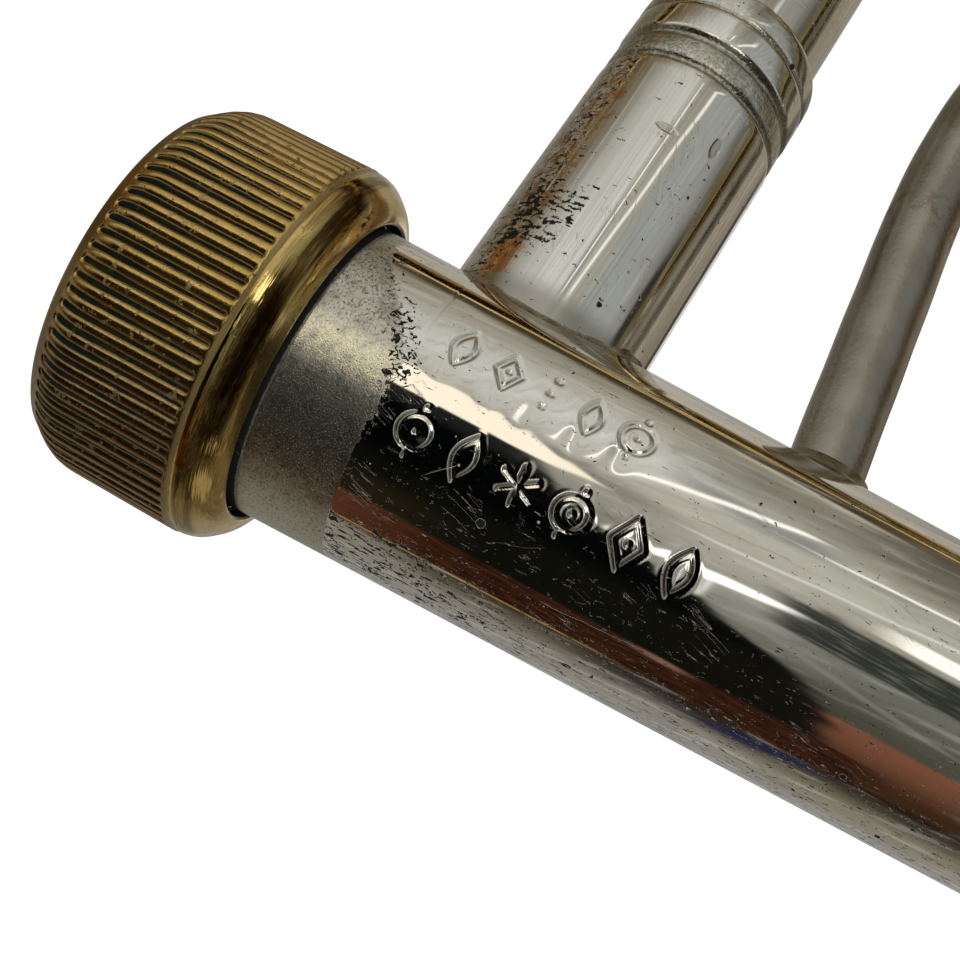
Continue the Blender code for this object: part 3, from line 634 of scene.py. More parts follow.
def punch(kind, u, v, h):
    """Distance field of one plain decorative punch of half height h."""
    lines = []
    if kind == "leaf":
        k = 0.62
        lines += [[(k * h * math.sin(math.pi * t) * 0.75, -h + 2 * h * t) for t in np.linspace(0, 1, 14)],
                  [(-k * h * math.sin(math.pi * t) * 0.75, -h + 2 * h * t) for t in np.linspace(0, 1, 14)]]
    elif kind == "diamond":
        lines += [[(0, -h), (0.62 * h, 0), (0, h), (-0.62 * h, 0), (0, -h)]]
        lines += [[(0, -0.02), (0, 0.02)]]
    elif kind == "target":
        lines += [arc_points(0, 0, 0.66 * h, 0.66 * h, 0, 2 * math.pi, 26), [(0, 0), (0.01, 0)]]
        lines += [[(0, -h), (0, -0.93 * h)], [(0, h), (0, 0.93 * h)]]
    elif kind == "dots":
        lines += [[(0, -0.82 * h), (0.01, -0.82 * h)], [(0, 0), (0.01, 0)], [(0, 0.82 * h), (0.01, 0.82 * h)]]
    elif kind == "star":
        for t in (90, 30, 150):
            t = math.radians(t)
            lines += [[(-0.8 * h * math.cos(t), -0.8 * h * math.sin(t)), (0.8 * h * math.cos(t), 0.8 * h * math.sin(t))]]
    d = np.full(u.shape, 9.0)
    for line in lines:
        for p, q in zip(line, line[1:]):
            d = np.minimum(d, seg_dist(u, v, p, q))
    return d


MARKS = [("leaf", 20.0, 84.0, 1.25, 4), ("diamond", 22.7, 84.2, 1.15, -6), ("dots", 25.2, 84.0, 1.2, 2),
         ("leaf", 27.8, 84.4, 1.15, -4), ("target", 30.5, 83.6, 1.4, 3),
         ("target", 20.1, 118.8, 1.45, 0), ("leaf", 23.1, 119.0, 1.35, 5), ("star", 26.2, 118.7, 1.35, -4),
         ("target", 29.4, 118.6, 1.45, 8), ("diamond", 32.8, 118.6, 1.5, -3), ("leaf", 36.0, 118.9, 1.4, 4)]


def mark_height(a, ang):
    """Radial relief in mm of the two rows of decorative punches; a and ang are arrays."""
    h = np.zeros(a.shape)
    arc = np.radians(ang) * R
    for kind, ca, cang, size, tilt in MARKS:
        u, v = a - ca, arc - math.radians(cang) * R
        near = (np.abs(u) < 3.4) & (np.abs(v) < 4.2)
        if not near.any():
            continue
        un, vn = u[near], v[near]
        t = math.radians(tilt)
        ur, vr = un * math.cos(t) + vn * math.sin(t), -un * math.sin(t) + vn * math.cos(t)
        d = punch(kind, ur, vr, size)
        w = (0.14 if cang < 100 else 0.115) if kind != "dots" else 0.20
        cut = (-0.105 if cang < 100 else -0.075) * np.exp(-(d / w) ** 2)
        lip = 0.006 * np.exp(-((d - 0.26) / 0.10) ** 2)
        away = np.hypot(ur * 0.9, vr)
        dish = (-0.050 if cang < 100 else -0.012) * np.exp(-(away / 1.10) ** 2)
        if cang < 100:                                       # the blow also sank the wall on the near side
            dish = dish - 0.036 * np.exp(-(np.hypot(ur + 0.35, (vr - 1.55) * 0.75) / 0.62) ** 2)
        h[near] += cut + lip + dish
    return h


def build_receiver():
    dense_t = np.arange(62.0, 138.0, 0.62)
    sparse = np.concatenate([np.arange(138.0, 422.0, 2.4)])
    ang = np.concatenate([dense_t, sparse])              # degrees, one full turn
    out_a = np.concatenate([[8.0], np.arange(8.35, 17.4, 0.6), np.arange(17.4, 38.4, 0.095),
                            np.arange(38.4, 75.6, 0.9), [75.9]])
    rows = []
    cosb, sinc = np.cos(np.radians(ang)), np.sin(np.radians(ang))

    def row(rad, a):
        return np.stack([RX - rad * cosb, -rad * sinc, np.full(ang.shape, H0 + a)], -1)

    # outside, with the punches pressed in and a shallow dip at 17.7 mm
    for a in out_a:
        aa = np.full(ang.shape, a)
        rad = R + mark_height(aa, ang)
        rad = rad - 0.012 * np.exp(-((a - 17.7) / 0.05) ** 2)
        if a in (8.0,):
            rad = rad - 0.25
        rows.append(row(rad, a))
    rows.append(row(R - 0.25 + 0 * ang, 76.0))
    for rad, a in ((8.3, 76.0), (8.25, 75.9), (8.25, 52.1), (8.15, 52.0), (7.05, 52.0), (6.95, 51.9), (6.95, 32.2), (7.05, 32.0),
                   (7.5, 32.0), (7.6, 31.9), (8.08, 8.6), (8.3, 8.05)):
        rows.append(row(rad + 0 * ang, a))
    return solid_from_rings("receiver_tube_shell", np.array(rows), MAT_RECEIVER, "bell_section",
                            ("receiver_tube",), angle=40.0)


build_receiver()
turned("stop_ring_turned", [(9.85, 8.0), (9.85, 10.0), (9.14, 10.0), (9.14, 8.0)], RX, 160, MAT_PIPE,
       "bell_section", ("nut_stop_ring",), soft=0.2)
turned("slip_washer_turned", [(9.85, 10.3), (9.85, 10.8), (9.43, 10.8), (9.43, 10.3)], RX, 160, MAT_PIPE,
       "nut_glide", ("nut_slip_washer",), soft=0.12)


# ================================================================== lock nut
def build_nut():
    flutes, per = 80, 10
    n = flutes * per
    t = 2 * np.pi * np.arange(n) / n
    pitch = 2 * np.pi / flutes
    phase = ((t / pitch + 0.5) % 1.0) - 0.5               # 0 on a ridge's crest, +-0.5 in a groove
    base = [(0.47, 10.24), (0.46, 10.33), (0.52, 10.42), (0.66, 10.53), (0.84, 10.655)]

    def crest(a):
        """Outside of the fluted band: a rounded front shoulder running into a slight taper."""
        return 11.600 + (a - 3.0) * 0.0370 - 0.40 * max(0.0, (3.0 - a) / 1.5) ** 2.2

    band = [(a, crest(a)) for a in
            list(np.arange(0.98, 2.4, 0.08)) + list(np.arange(2.5, 8.7, 0.5)) + list(np.arange(8.72, 9.40, 0.08))]
    collar = [(9.44, 11.80), (9.52, 11.72), (9.59, 11.665), (9.66, 11.69), (9.73, 11.74), (9.82, 11.757), (9.96, 11.738),
              (10.09, 11.704), (10.24, 11.660), (10.38, 11.612), (10.53, 11.535), (10.68, 11.440), (10.84, 11.320), (11.00, 11.185), (11.20, 11.02),
              (11.38, 10.84), (11.52, 10.66), (11.64, 10.46), (11.74, 10.25), (11.81, 10.05), (11.865, 9.86),
              (11.89, 9.72), (11.89, 9.62), (11.85, 9.54), (11.76, 9.50)]
    rows = []

    def row(rad, a):
        return np.stack([RX + rad * np.cos(t), rad * np.sin(t), H0 + a + 0 * t], -1)

    for a, r in base:
        rows.append(row(r + 0 * t, a))
    a0, a1 = 1.36, 9.12
    rough_edge = 0.030 * np.sin(3.1 * t * 7 + 1.0) + 0.022 * np.sin(t * 143.0 + 0.4)
    for a, r in band:
        side = (0.5 - np.abs(phase)) * pitch * r          # mm from the groove's centre line
        over = max(0.0, a0 - a, a - a1)
        d = np.hypot(side, over)
        back = min(max((a - 2.6) / 6.0, 0.0), 1.0)
        half = 0.138 - 0.042 * back + 0.012 * np.sin(a * 2.3 + t * 11.0) + rough_edge * 0.6
        groove = (0.28 - 0.07 * back) / (1.0 + np.exp((d - half) / 0.046))
        crown = 0.085 * (np.abs(phase) / 0.38) ** 2 * (1.0 if over == 0 else max(0.0, 1 - over / 0.3))
        rows.append(row(r - groove - np.minimum(crown, 0.10), a))
    for a, r in collar:
        rows.append(row(r + 0 * t, a))
    rows.append(row(9.50 + 0 * t, 11.15))
    rows.append(row(9.56 + 0 * t, 11.1))
    rows.append(row(10.10 + 0 * t, 11.1))
    rows.append(row(10.16 + 0 * t, 11.0))
    rows.append(row(10.16 + 0 * t, 7.0))
    pitch_mm = 0.9                                        # inside thread, one start
    for a in np.arange(6.8, 1.0, -0.15):
        ph = ((a / pitch_mm + t / (2 * np.pi)) % 1.0)
        tri = np.abs(ph - 0.5) * 2.0
        blend = min(1.0, (6.9 - a) / 0.8, (a - 0.9) / 0.6)
        rows.append(row(10.16 + 0.10 * (1 - tri) * blend, a))
    rows.append(row(10.16 + 0 * t, 0.8))
    rows.append(row(10.18 + 0 * t, 0.55))
    return solid_from_rings("lock_nut_fluted", np.array(rows), MAT_NUT, "lock_nut", ("lock_nut",), angle=50.0)


build_nut()


# ================================================================ brace parts
def bell_curve(a):
    return 104.1 * (12.0 / (a + 268.0 + 12.0)) ** 0.6888


def build_socket(name, far, tube_r, material, node):
    """Socket with two turned grooves, a plain band and an end bead, saddled on a tube."""
    segs = 224
    t = 2 * np.pi * np.arange(segs) / segs
    ca, cc = np.cos(t), np.sin(t)
    marks = [(27.3, 6.36), (27.85, 6.36), (28.02, 6.34), (28.14, 6.22), (28.26, 6.12), (28.40, 6.10), (28.54, 6.12), (28.66, 6.22),
             (28.80, 6.30), (29.2, 6.315), (29.7, 6.31), (30.15, 6.30), (30.30, 6.26), (30.42, 6.14), (30.56, 6.09), (30.74, 6.09),
             (30.88, 6.14), (31.02, 6.27), (31.18, 6.355), (31.35, 6.375), (32.2, 6.372), (33.1, 6.365), (33.36, 6.35), (33.46, 6.28),
             (33.56, 6.25), (33.66, 6.28), (33.78, 6.34), (34.0, 6.36), (34.6, 6.355), (35.1, 6.33), (35.4, 6.28), (35.62, 6.20),
             (35.8, 6.10), (35.95, 5.98), (36.04, 5.88), (36.08, 5.76), (36.05, 5.66), (35.9, 5.60), (33.5, 5.60), (31.0, 5.62)]

    def place(b, rad):
        bb = b if far > 0 else AXES - b
        return np.stack([RX - bb + 0 * t, -rad * cc, H0 + BRACE_A + rad * ca], -1)

    root = np.sqrt(np.maximum(tube_r ** 2 - (6.36 * cc) ** 2, 0.0)) - 0.06
    root_in = np.sqrt(np.maximum(tube_r ** 2 - (5.85 * cc) ** 2, 0.0)) - 0.06
    rows = []
    for k in range(41):
        f = k / 40.0
        b = root * (1 - f) + 27.0 * f
        wave = 0.006 * np.sin(b * 0.55 + 2.0 * ca) * f * (1 - f) * 4
        rows.append(place(b, 6.36 + wave))
    for b, rad in marks:
        rows.append(place(b + 0 * t, rad + 0 * t))
    rows.append(place(root_in, 5.85 + 0 * t))
    return solid_from_rings(name, np.array(rows), material, "bell_section", (node,), angle=50.0)


def build_fillet(name, far, tube_r, around_r, size, seed, height=BRACE_A):
    """Hollow-ground solder bead where a round piece meets a tube."""
    segs = 256
    t = 2 * np.pi * np.arange(segs) / segs
    ca, cc = np.cos(t), np.sin(t)
    turn = (t + np.pi) % (2 * np.pi) - np.pi
    f = size * (1 + 0.10 * np.sin(3 * t + seed) + 0.06 * np.sin(7 * t + 2.1 * seed))
    f = f + 0.55 * np.exp(-((turn - 0.30) / 0.30) ** 2) + 0.30 * np.exp(-((turn - 0.62) / 0.10) ** 2)

    def at(rad, b):
        bb = b if far > 0 else AXES - b
        return np.stack([RX - bb, -rad * cc, H0 + height + rad * ca], -1)

    def surf(rad):
        return np.sqrt(np.maximum(tube_r ** 2 - (rad * cc) ** 2, 0.0))

    T = at(around_r + f, surf(around_r + f) + 0.0)
    S = at(around_r + 0.0 * f, surf(around_r) + f)
    C = at(around_r + 0.04 * f, surf(around_r) + 0.05 * f)
    rows = []
    for k in range(9):
        u = k / 8.0
        rows.append((1 - u) ** 2 * T + 2 * u * (1 - u) * C + u * u * S)
    rows.append(at(around_r - 0.12 + 0 * f, surf(around_r) + f * 0.6))
    rows.append(at(around_r - 0.15 + 0 * f, surf(around_r) - 0.25))
    rows.append(at(around_r + f * 0.7, surf(around_r + f * 0.7) - 0.2))
    return solid_from_rings(name, np.array(rows), MAT_SOLDER, "bell_section", (), angle=60.0)


build_socket("brace_socket_near", 1, R, MAT_SOCKET_A, "brace_socket_receiver")
build_socket("brace_socket_far", -1, bell_curve(BRACE_A) + 0.02, MAT_SOCKET_B, "brace_socket_bell")
build_fillet("brace_solder_near", 1, R, 6.36, 0.26, 0.7)
build_fillet("brace_solder_far", -1, bell_curve(BRACE_A), 6.36, 0.35, 2.3)

o = soften([(5.55, 12.0), (5.55, 87.6), (4.95, 87.6), (4.95, 12.0)], 0.2)
solid_from_rings("brace_tube_drawn", rings_across(densify(o, 4.0), BRACE_A, 160), MAT_BRACE, "bell_section",
                 ("brace_tube",))


def small_brace(prefix, a, r_neck, r_bell, body, nodes):
    """Thin brace tube between two turned flanges."""
    segs = 96
    t = 2 * np.pi * np.arange(segs) / segs
    ca, cc = np.cos(t), np.sin(t)
    for side, tube_r in (("neck", r_neck), ("bell", r_bell)):
        def place(b, rad):
            bb = b if side == "neck" else AXES - b
            return np.stack([RX - bb + 0 * t, -rad * cc, H0 + a + rad * ca], -1)
        rows = []
        foot = 5.6
        for rad, h in ((foot, -0.05), (foot, 0.35), (foot - 0.12, 0.55), (foot - 0.5, 0.8), (foot - 1.0, 1.3), (4.35, 2.0),
                       (4.12, 2.8), (4.08, 3.6), (4.12, 4.2), (4.4, 4.5), (4.52, 4.85), (4.4, 5.2), (4.1, 5.45), (3.9, 5.8), (3.75, 6.3),
                       (3.55, 6.45), (3.27, 6.35), (3.24, 6.0), (3.24, 3.0)):
            lift = np.sqrt(np.maximum(tube_r ** 2 - (rad * cc) ** 2, 0.0)) if h < 1.4 else \
                np.sqrt(np.maximum(tube_r ** 2 - (rad * cc) ** 2, 0.0)) * (1 - min(1, (h - 1.3) / 2.0)) + tube_r * min(1, (h - 1.3) / 2.0)
            rows.append(place(lift + h, rad + 0 * t))
        lift = np.sqrt(np.maximum(tube_r ** 2 - (3.24 * cc) ** 2, 0.0))
        rows.append(place(lift - 0.05, 3.24 + 0 * t))
        node = nodes["flange_" + side]
        solid_from_rings(prefix + "_flange_turned_" + side, np.array(rows), MAT_NICKEL, body, (node,), angle=45.0)
    o = soften([(3.2, r_neck + 1.5), (3.2, AXES - r_bell - 1.5), (2.6, AXES - r_bell - 1.5), (2.6, r_neck + 1.5)], 0.15)
    solid_from_rings(prefix + "_tube_drawn", rings_across(densify(o, 4.0), a, 96), MAT_NICKEL, body, (nodes["tube"],))


small_brace("upper_brace", 150.0, 7.95, bell_curve(150.0), "bell_section",
            {"flange_neck": "upper_brace_flange_neck", "flange_bell": "upper_brace_flange_bell", "tube": "upper_brace_tube"})
small_brace("slide_brace", 271.5, 9.42, 9.42, "tuning_slide",
            {"flange_neck": "slide_brace_flange_neck", "flange_bell": "slide_brace_flange_bell", "tube": "slide_brace_tube"})


# ================================================================== stay rod
def rod_heading(b):
    lean = math.radians(-5.7)
    top = lean + (55.6 - 29.5) / 68.0
    if b < 29.5:
        return lean
    if b < 55.6:
        return lean + (b - 29.5) / 68.0
    if b < 73.0:
        return top
    return top * max(0.0, 1.0 - (b - 73.0) / (AXES - 11.0 - 3.0 - 73.0))


def build_rod():
    a, b = 40.46, 9.75
    pts = []
    step = 0.35
    while AXES - b > bell_curve(a) + 0.30:
        pts.append((a, b, rod_heading(b)))
        h = rod_heading(b + step / 2)
        a += math.tan(h) * step
        b += step
    segs = 56
    t = 2 * np.pi * np.arange(segs) / segs
    outer = []
    for i, (a, b, h) in enumerate(pts):
        flat = 0.015 * math.exp(-((b - 33.0) / 4.0) ** 2)         # slightly flattened at the bend
        rad = 2.495 + 0.012 * np.sin(0.9 * b + 3 * t)
        na, nb = math.cos(h), -math.sin(h)
        oc, on = rad * np.cos(t) * (1 + flat), rad * np.sin(t) * (1 - flat)
        outer.append(np.stack([RX - (b + nb * on), -oc, H0 + a + na * on], -1))
    outer = np.array(outer)
    start_c, end_c = outer[0].mean(0), outer[-1].mean(0)
    rings = [start_c + (outer[0] - start_c) * 0.02, start_c + (outer[0] - start_c) * 0.85]
    rings += list(outer)
    rings += [end_c + (outer[-1] - end_c) * 0.85, end_c + (outer[-1] - end_c) * 0.02]
    rings = np.array(rings)
    rows, cols, _ = rings.shape
    verts, faces = loop_grid(rings, closed_rows=False)
    verts = np.vstack([verts, start_c, end_c])
    f = [tuple(q) for q in faces]
    last = (rows - 1) * cols
    for j in range(cols):
        k = (j + 1) % cols
        f.append((k, j, rows * cols))
        f.append((last + j, last + k, rows * cols + 1))
    me = bpy.data.meshes.new("stay_rod_bent")
    me.from_pydata([tuple(v * MM) for v in verts], [], f)
    import bmesh
    bm = bmesh.new()
    bm.from_mesh(me)
    bmesh.ops.recalc_face_normals(bm, faces=bm.faces)
    bm.to_mesh(me)
    bm.free()
    me.materials.append(MAT_ROD)
    me.shade_smooth()
    me.set_sharp_from_angle(angle=math.radians(40))
    ob = bpy.data.objects.new("stay_rod_bent", me)
    bpy.context.scene.collection.objects.link(ob)
    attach(ob, "bell_section")
    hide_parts("stay_rod")
    return pts


ROD = build_rod()


def rod_foot(name, a, b, far, tube_r, height, node):
    """Low turned collar that saddles the tube and takes the rod."""
    segs = 96
    t = 2 * np.pi * np.arange(segs) / segs
    ca, cc = np.cos(t), np.sin(t)

    def place(bv, rad, aoff):
        bb = bv if far > 0 else AXES - bv
        return np.stack([RX - bb + 0 * t, -rad * cc, H0 + a + aoff + rad * ca], -1)

    rows = []
    for rad, h in ((3.7, -0.05), (3.7, 0.06), (3.5, 0.16), (3.2, 0.28), (2.95, 0.5), (2.8, height), (2.66, height + 0.05),
                   (2.57, height - 0.1)):
        lift = np.sqrt(np.maximum(tube_r ** 2 - (rad * cc) ** 2, 0.0))
        rows.append(place(lift + h, rad + 0 * t, 0.0))
    lift = np.sqrt(np.maximum(tube_r ** 2 - (2.57 * cc) ** 2, 0.0))
    rows.append(place(lift - 0.05, 2.57 + 0 * t, 0.0))
    solid_from_rings(name, np.array(rows), MAT_ROD, "bell_section", (node,), angle=45.0)


rod_foot("rod_foot_near", 40.56, 0, 1, R, 1.1, "stay_rod_foot_receiver")
rod_foot("rod_foot_far", ROD[-1][0], 0, -1, bell_curve(ROD[-1][0]), 1.6, "stay_rod_foot_bell")

# ====================================================== pipe, ferrules, legs
turned("neckpipe_drawn", densify(tube_line(7.95, 7.15, 53.0, 185.0), 6.0), RX, 144, MAT_PIPE, "bell_section", ("neckpipe",), soft=0.15)

turned("receiver_ferrule_turned",
       [(9.15, 66.0), (9.75, 66.0), (10.02, 66.35), (10.1, 66.9), (10.02, 67.4), (9.72, 67.75), (9.66, 68.2), (9.66, 76.6),
        (9.72, 77.0), (10.02, 77.4), (10.1, 77.95), (10.02, 78.5), (9.7, 78.9), (9.55, 79.4), (9.3, 80.6), (9.0, 82.0), (8.72, 83.6),
        (8.62, 84.4), (8.72, 84.8), (8.72, 85.6), (8.5, 86.0), (8.0, 86.0), (8.0, 76.4), (9.15, 76.4)],
       RX, 176, MAT_NICKEL, "bell_section", ("receiver_ferrule",), soft=0.12, angle=28.0)


def leg_ferrule(name, x, low, node):
    turned(name, [(low + 0.03, 172.0), (low + 0.45, 172.0), (low + 0.55, 172.5), (low + 0.5, 173.2), (low + 0.62, 174.0), (9.55, 177.0),
                  (9.85, 177.7), (10.15, 178.3), (10.2, 179.2), (10.1, 180.1), (9.78, 180.5), (9.72, 181.2), (9.72, 194.4), (9.78, 195.0),
                  (10.1, 195.4), (10.2, 196.2), (10.12, 197.1), (9.8, 197.6), (9.5, 198.0),
                  (9.0, 198.0), (9.0, 185.5), (low + 0.03, 185.5)],
           x, 176, MAT_NICKEL, "bell_section", (node,), soft=0.12, angle=28.0)


leg_ferrule("neck_leg_ferrule_turned", RX, 7.95, "neck_leg_ferrule")
leg_ferrule("bell_leg_ferrule_turned", BX, bell_curve(172.0), "bell_leg_ferrule")

for side, x in (("neck", RX), ("bell", BX)):
    turned(side + "_outer_leg_drawn",
           [(8.95, 186.0), (8.95, 214.0), (8.95, 236.0), (8.95, 257.4), (9.1, 257.8), (9.45, 258.1), (9.5, 258.7), (9.4, 259.2), (9.22, 259.5),
            (9.22, 260.6), (9.4, 260.9), (9.5, 261.4), (9.42, 261.85), (9.2, 262.0), (8.37, 262.0), (8.33, 261.6), (8.35, 186.0)],
           x, 160, MAT_NICKEL, "bell_section", (side + "_outer_leg",), soft=0.1, angle=28.0)
    turned("slide_inner_leg_drawn_" + side, densify(tube_line(8.05, 7.45, 194.0, 270.2), 8.0), x, 144, MAT_BRACE, "tuning_slide",
           ("slide_inner_leg_" + side,), soft=0.2)
    turned("crook_ferrule_turned_" + side,
           [(8.08, 262.6), (9.1, 262.6), (9.45, 262.9), (9.58, 263.6), (9.5, 264.3), (9.25, 264.7), (9.2, 265.2), (9.2, 276.6), (9.25, 277.0),
            (9.5, 277.4), (9.58, 278.1), (9.5, 278.8), (9.25, 279.3), (9.0, 279.8), (8.63, 279.8), (8.63, 270.6), (8.08, 270.6)],
           x, 176, MAT_NICKEL, "tuning_slide", ("crook_ferrule_" + side,), soft=0.1, angle=28.0)


# ================================================================ crook, bell
def build_crook():
    half = AXES / 2.0
    path = [((0.0, 271.0), (0.0, 1.0)), ((0.0, 275.5), (0.0, 1.0))]
    for i in range(121):
        t = math.pi * i / 120
        path.append(((half - half * math.cos(t), 280.0 + half * math.sin(t)), (math.sin(t), math.cos(t))))
    path += [((AXES, 275.5), (0.0, -1.0)), ((AXES, 271.0), (0.0, -1.0))]
    segs = 112
    t = 2 * np.pi * np.arange(segs) / segs

    def ring(pt, tg, rad):
        b, a = pt
        tb, ta = tg
        nb, na = -ta, tb                                   # in-plane normal
        k = rad * np.cos(t)
        return np.stack([RX - (b + nb * k), -rad * np.sin(t), H0 + a + na * k], -1)

    rings = [ring(*path[0], 8.45)] + [ring(p, g, 8.6) for p, g in path] + [ring(*path[-1], 8.45)]
    rings += [ring(*path[-1], 7.95)] + [ring(p, g, 7.9) for p, g in reversed(path)] + [ring(*path[0], 7.95)]
    return solid_from_rings("tuning_crook_bent", np.array(rings), MAT_PIPE, "tuning_slide", ("tuning_crook",), angle=50.0)


build_crook()


def build_bell():
    lifts = np.concatenate([[0.0], np.geomspace(0.6, 453.0, 110)])
    a = -268.0 + lifts
    r = bell_curve(a)
    slope = -0.6888 * r / (lifts + 12.0)
    n = np.stack([np.ones_like(r), -slope], -1)
    n /= np.linalg.norm(n, axis=1)[:, None]
    outer = np.stack([r, a], -1)
    inner = outer - n * 0.7
    outer[0, 0] += 0.9                                     # the sheet runs under the rolled rim
    inner[0, 0] += 0.9
    line = np.vstack([outer, inner[::-1]])
    return solid_from_rings("bell_spun", rings_upright(line, BX, 320), MAT_BELL, "bell_section", ("bell",), angle=50.0)


build_bell()
bead = []
for k in range(28):
    t = 2 * math.pi * k / 28
    rr, hh = 2.0 * math.cos(t), 2.0 * math.sin(t)
    hh = max(hh, -1.93)
    bead.append((106.44 + rr, -268.0 + (hh if hh > -1.93 else -2.0)))
solid_from_rings("bell_rim_rolled", rings_upright(bead, BX, 320), MAT_BELL, "bell_section", ("bell_rim_wire",), angle=50.0)

# ============================================================ floor and world
me = bpy.data.meshes.new("floor_sheet")
S = 12.0
me.from_pydata([(-S, -S, -0.0005), (S, -S, -0.0005), (S, S, -0.0005), (-S, S, -0.0005)], [], [(0, 1, 2, 3)])
floor = bpy.data.objects.new("floor_sheet", me)
bpy.context.scene.collection.objects.link(floor)
fm = bpy.data.materials.new("pale_floor")
fm.use_nodes = True
fb = fm.node_tree.nodes["Principled BSDF"]
fb.inputs["Base Color"].default_value = (0.955, 0.955, 0.955, 1)
fb.inputs["Roughness"].default_value = 0.9
fb.inputs["Specular IOR Level"].default_value = 0.1
me.materials.append(fm)
floor.visible_glossy = False

world = bpy.data.worlds.new("studio")
bpy.context.scene.world = world
world.use_nodes = True
wt = world.node_tree
wt.nodes.clear()
g = G(wt)
tc = wt.nodes.new("ShaderNodeTexCoord")
dx, dy, dz = g.split(F(g, tc.outputs["Generated"]))
psi = g.atan2(-dy, -dx) * (180.0 / math.pi)               # 0 towards the bell, 90 towards the front
psi = psi + g.math("LESS_THAN", psi, 0.0) * 360.0
el = g.math("ARCSINE", dz) * (180.0 / math.pi)

PLATE_TINT = (0.86, 0.84, 0.79)


def seen(r, g_, b):
    """Linear light that the plate shows as this display colour."""
    out = []
    for v, t in zip((r, g_, b), PLATE_TINT):
        v = v / 255.0
        v = v / 12.92 if v <= 0.04045 else ((v + 0.055) / 1.055) ** 2.4
        out.append(v / t)
    return tuple(out)


def around(stops):
    """Colour by direction round the horn, from (degrees, colour) stops."""
    n = wt.nodes.new("ShaderNodeValToRGB")
    g.put(n.inputs[0], psi * (1.0 / 360.0))
    ramp = n.color_ramp
    ramp.interpolation = "LINEAR"
    while len(ramp.elements) > 1:
        ramp.elements.remove(ramp.elements[-1])
    for k, (deg, col) in enumerate(stops):
        e = ramp.elements[0] if k == 0 else ramp.elements.new(deg / 360.0)
        e.position = deg / 360.0
        e.color = (*seen(*col), 1.0)
    return F(g, n.outputs[0])


above = around([(0, (84, 66, 46)), (15, (90, 86, 75)), (42, (120, 118, 104)), (56, (158, 156, 142)), (80, (178, 178, 164)),
                (96, (150, 145, 130)), (120, (112, 112, 103)), (150, (76, 74, 62)), (204, (38, 26, 14)), (214, (70, 64, 52)),
                (230, (126, 119, 102)), (275, (146, 144, 138)), (320, (142, 136, 124)), (346, (164, 157, 141)), (354, (120, 104, 82)), (360, (84, 66, 46))])
level = around([(0, (72, 58, 38)), (9, (62, 50, 36)), (11.2, (185, 175, 150)), (14, (138, 132, 117)), (30, (124, 121, 108)),
                (50, (158, 156, 143)), (72, (178, 176, 162)), (100, (163, 160, 148)), (132, (125, 123, 112)), (150, (60, 56, 46)),
                (186, (38, 24, 15)), (204, (38, 24, 14)), (213, (46, 40, 33)), (222, (82, 76, 69)), (234, (132, 127, 115)),
                (278, (140, 138, 133)), (325, (152, 147, 135)), (348, (168, 161, 145)), (355, (110, 94, 70)), (360, (72, 58, 38))])
below = around([(0, (58, 48, 30)), (7, (64, 56, 38)), (12, (140, 132, 115)), (40, (176, 174, 162)), (56, (200, 199, 190)),
                (68, (190, 188, 177)), (80, (178, 175, 162)), (88, (132, 127, 115)), (98, (150, 147, 134)), (150, (60, 55, 42)),
                (187, (32, 19, 10)), (206, (42, 27, 13)), (214, (80, 71, 58)), (224, (110, 102, 90)), (234, (131, 126, 114)),
                (278, (137, 135, 129)), (305, (152, 148, 139)), (330, (168, 162, 149)), (348, (172, 163, 145)), (355, (100, 86, 62)), (360, (58, 48, 30))])
high = around([(0, (84, 70, 38)), (8, (96, 84, 52)), (16, (92, 90, 80)), (30, (138, 138, 131)), (46, (150, 153, 147)), (60, (146, 148, 141)),
               (76, (56, 49, 34)), (100, (34, 26, 15)), (200, (34, 26, 16)), (228, (70, 60, 46)), (245, (96, 88, 74)), (300, (112, 102, 86)),
               (318, (138, 128, 112)), (336, (140, 131, 113)), (346, (110, 94, 58)), (354, (58, 48, 24)), (360, (84, 70, 38))])
low = around([(0, (92, 72, 42)), (14, (96, 78, 50)), (30, (122, 114, 97)), (42, (164, 162, 151)), (56, (196, 194, 184)), (80, (168, 163, 148)),
              (98, (148, 145, 132)), (150, (52, 44, 32)), (190, (40, 26, 15)), (206, (50, 38, 26)), (213, (118, 110, 96)), (228, (134, 128, 116)), (270, (140, 136, 126)),
              (300, (146, 142, 132)), (320, (104, 98, 82)), (342, (80, 75, 57)), (360, (92, 72, 42))])
warp = (g.noise(g.vec(psi * 0.10, el * 0.22, 4.0), 1.0, 3.0, 0.6) - 0.5)
env = g.mix(below, level, g.step(el + warp * 3.0, -5.2, -0.6))
env = g.mix(env, above, g.step(el + warp * 3.0, 1.4, 5.6))
env = g.mix(env, high, g.step(el, 12.0, 24.0))
env = g.mix(env, low, g.step(el, -7.0, -32.0))
# folds and soft shapes in the room
fold = g.noise(g.vec(psi * 0.16 + el * 0.5, el * 0.16 - psi * 0.05, 0.0), 1.0, 3.0, 0.55)
env = g.mix(env, g.mix(env, (1.0, 1.0, 0.96), 0.5), g.step(fold, 0.54, 0.66) * 0.30)
env = g.mix(env, g.mix(env, (0.0, 0.0, 0.0), 0.7), g.step(fold, 0.46, 0.34) * 0.28)


def patch(env, colour, mask):
    return g.mix(env, colour, mask)


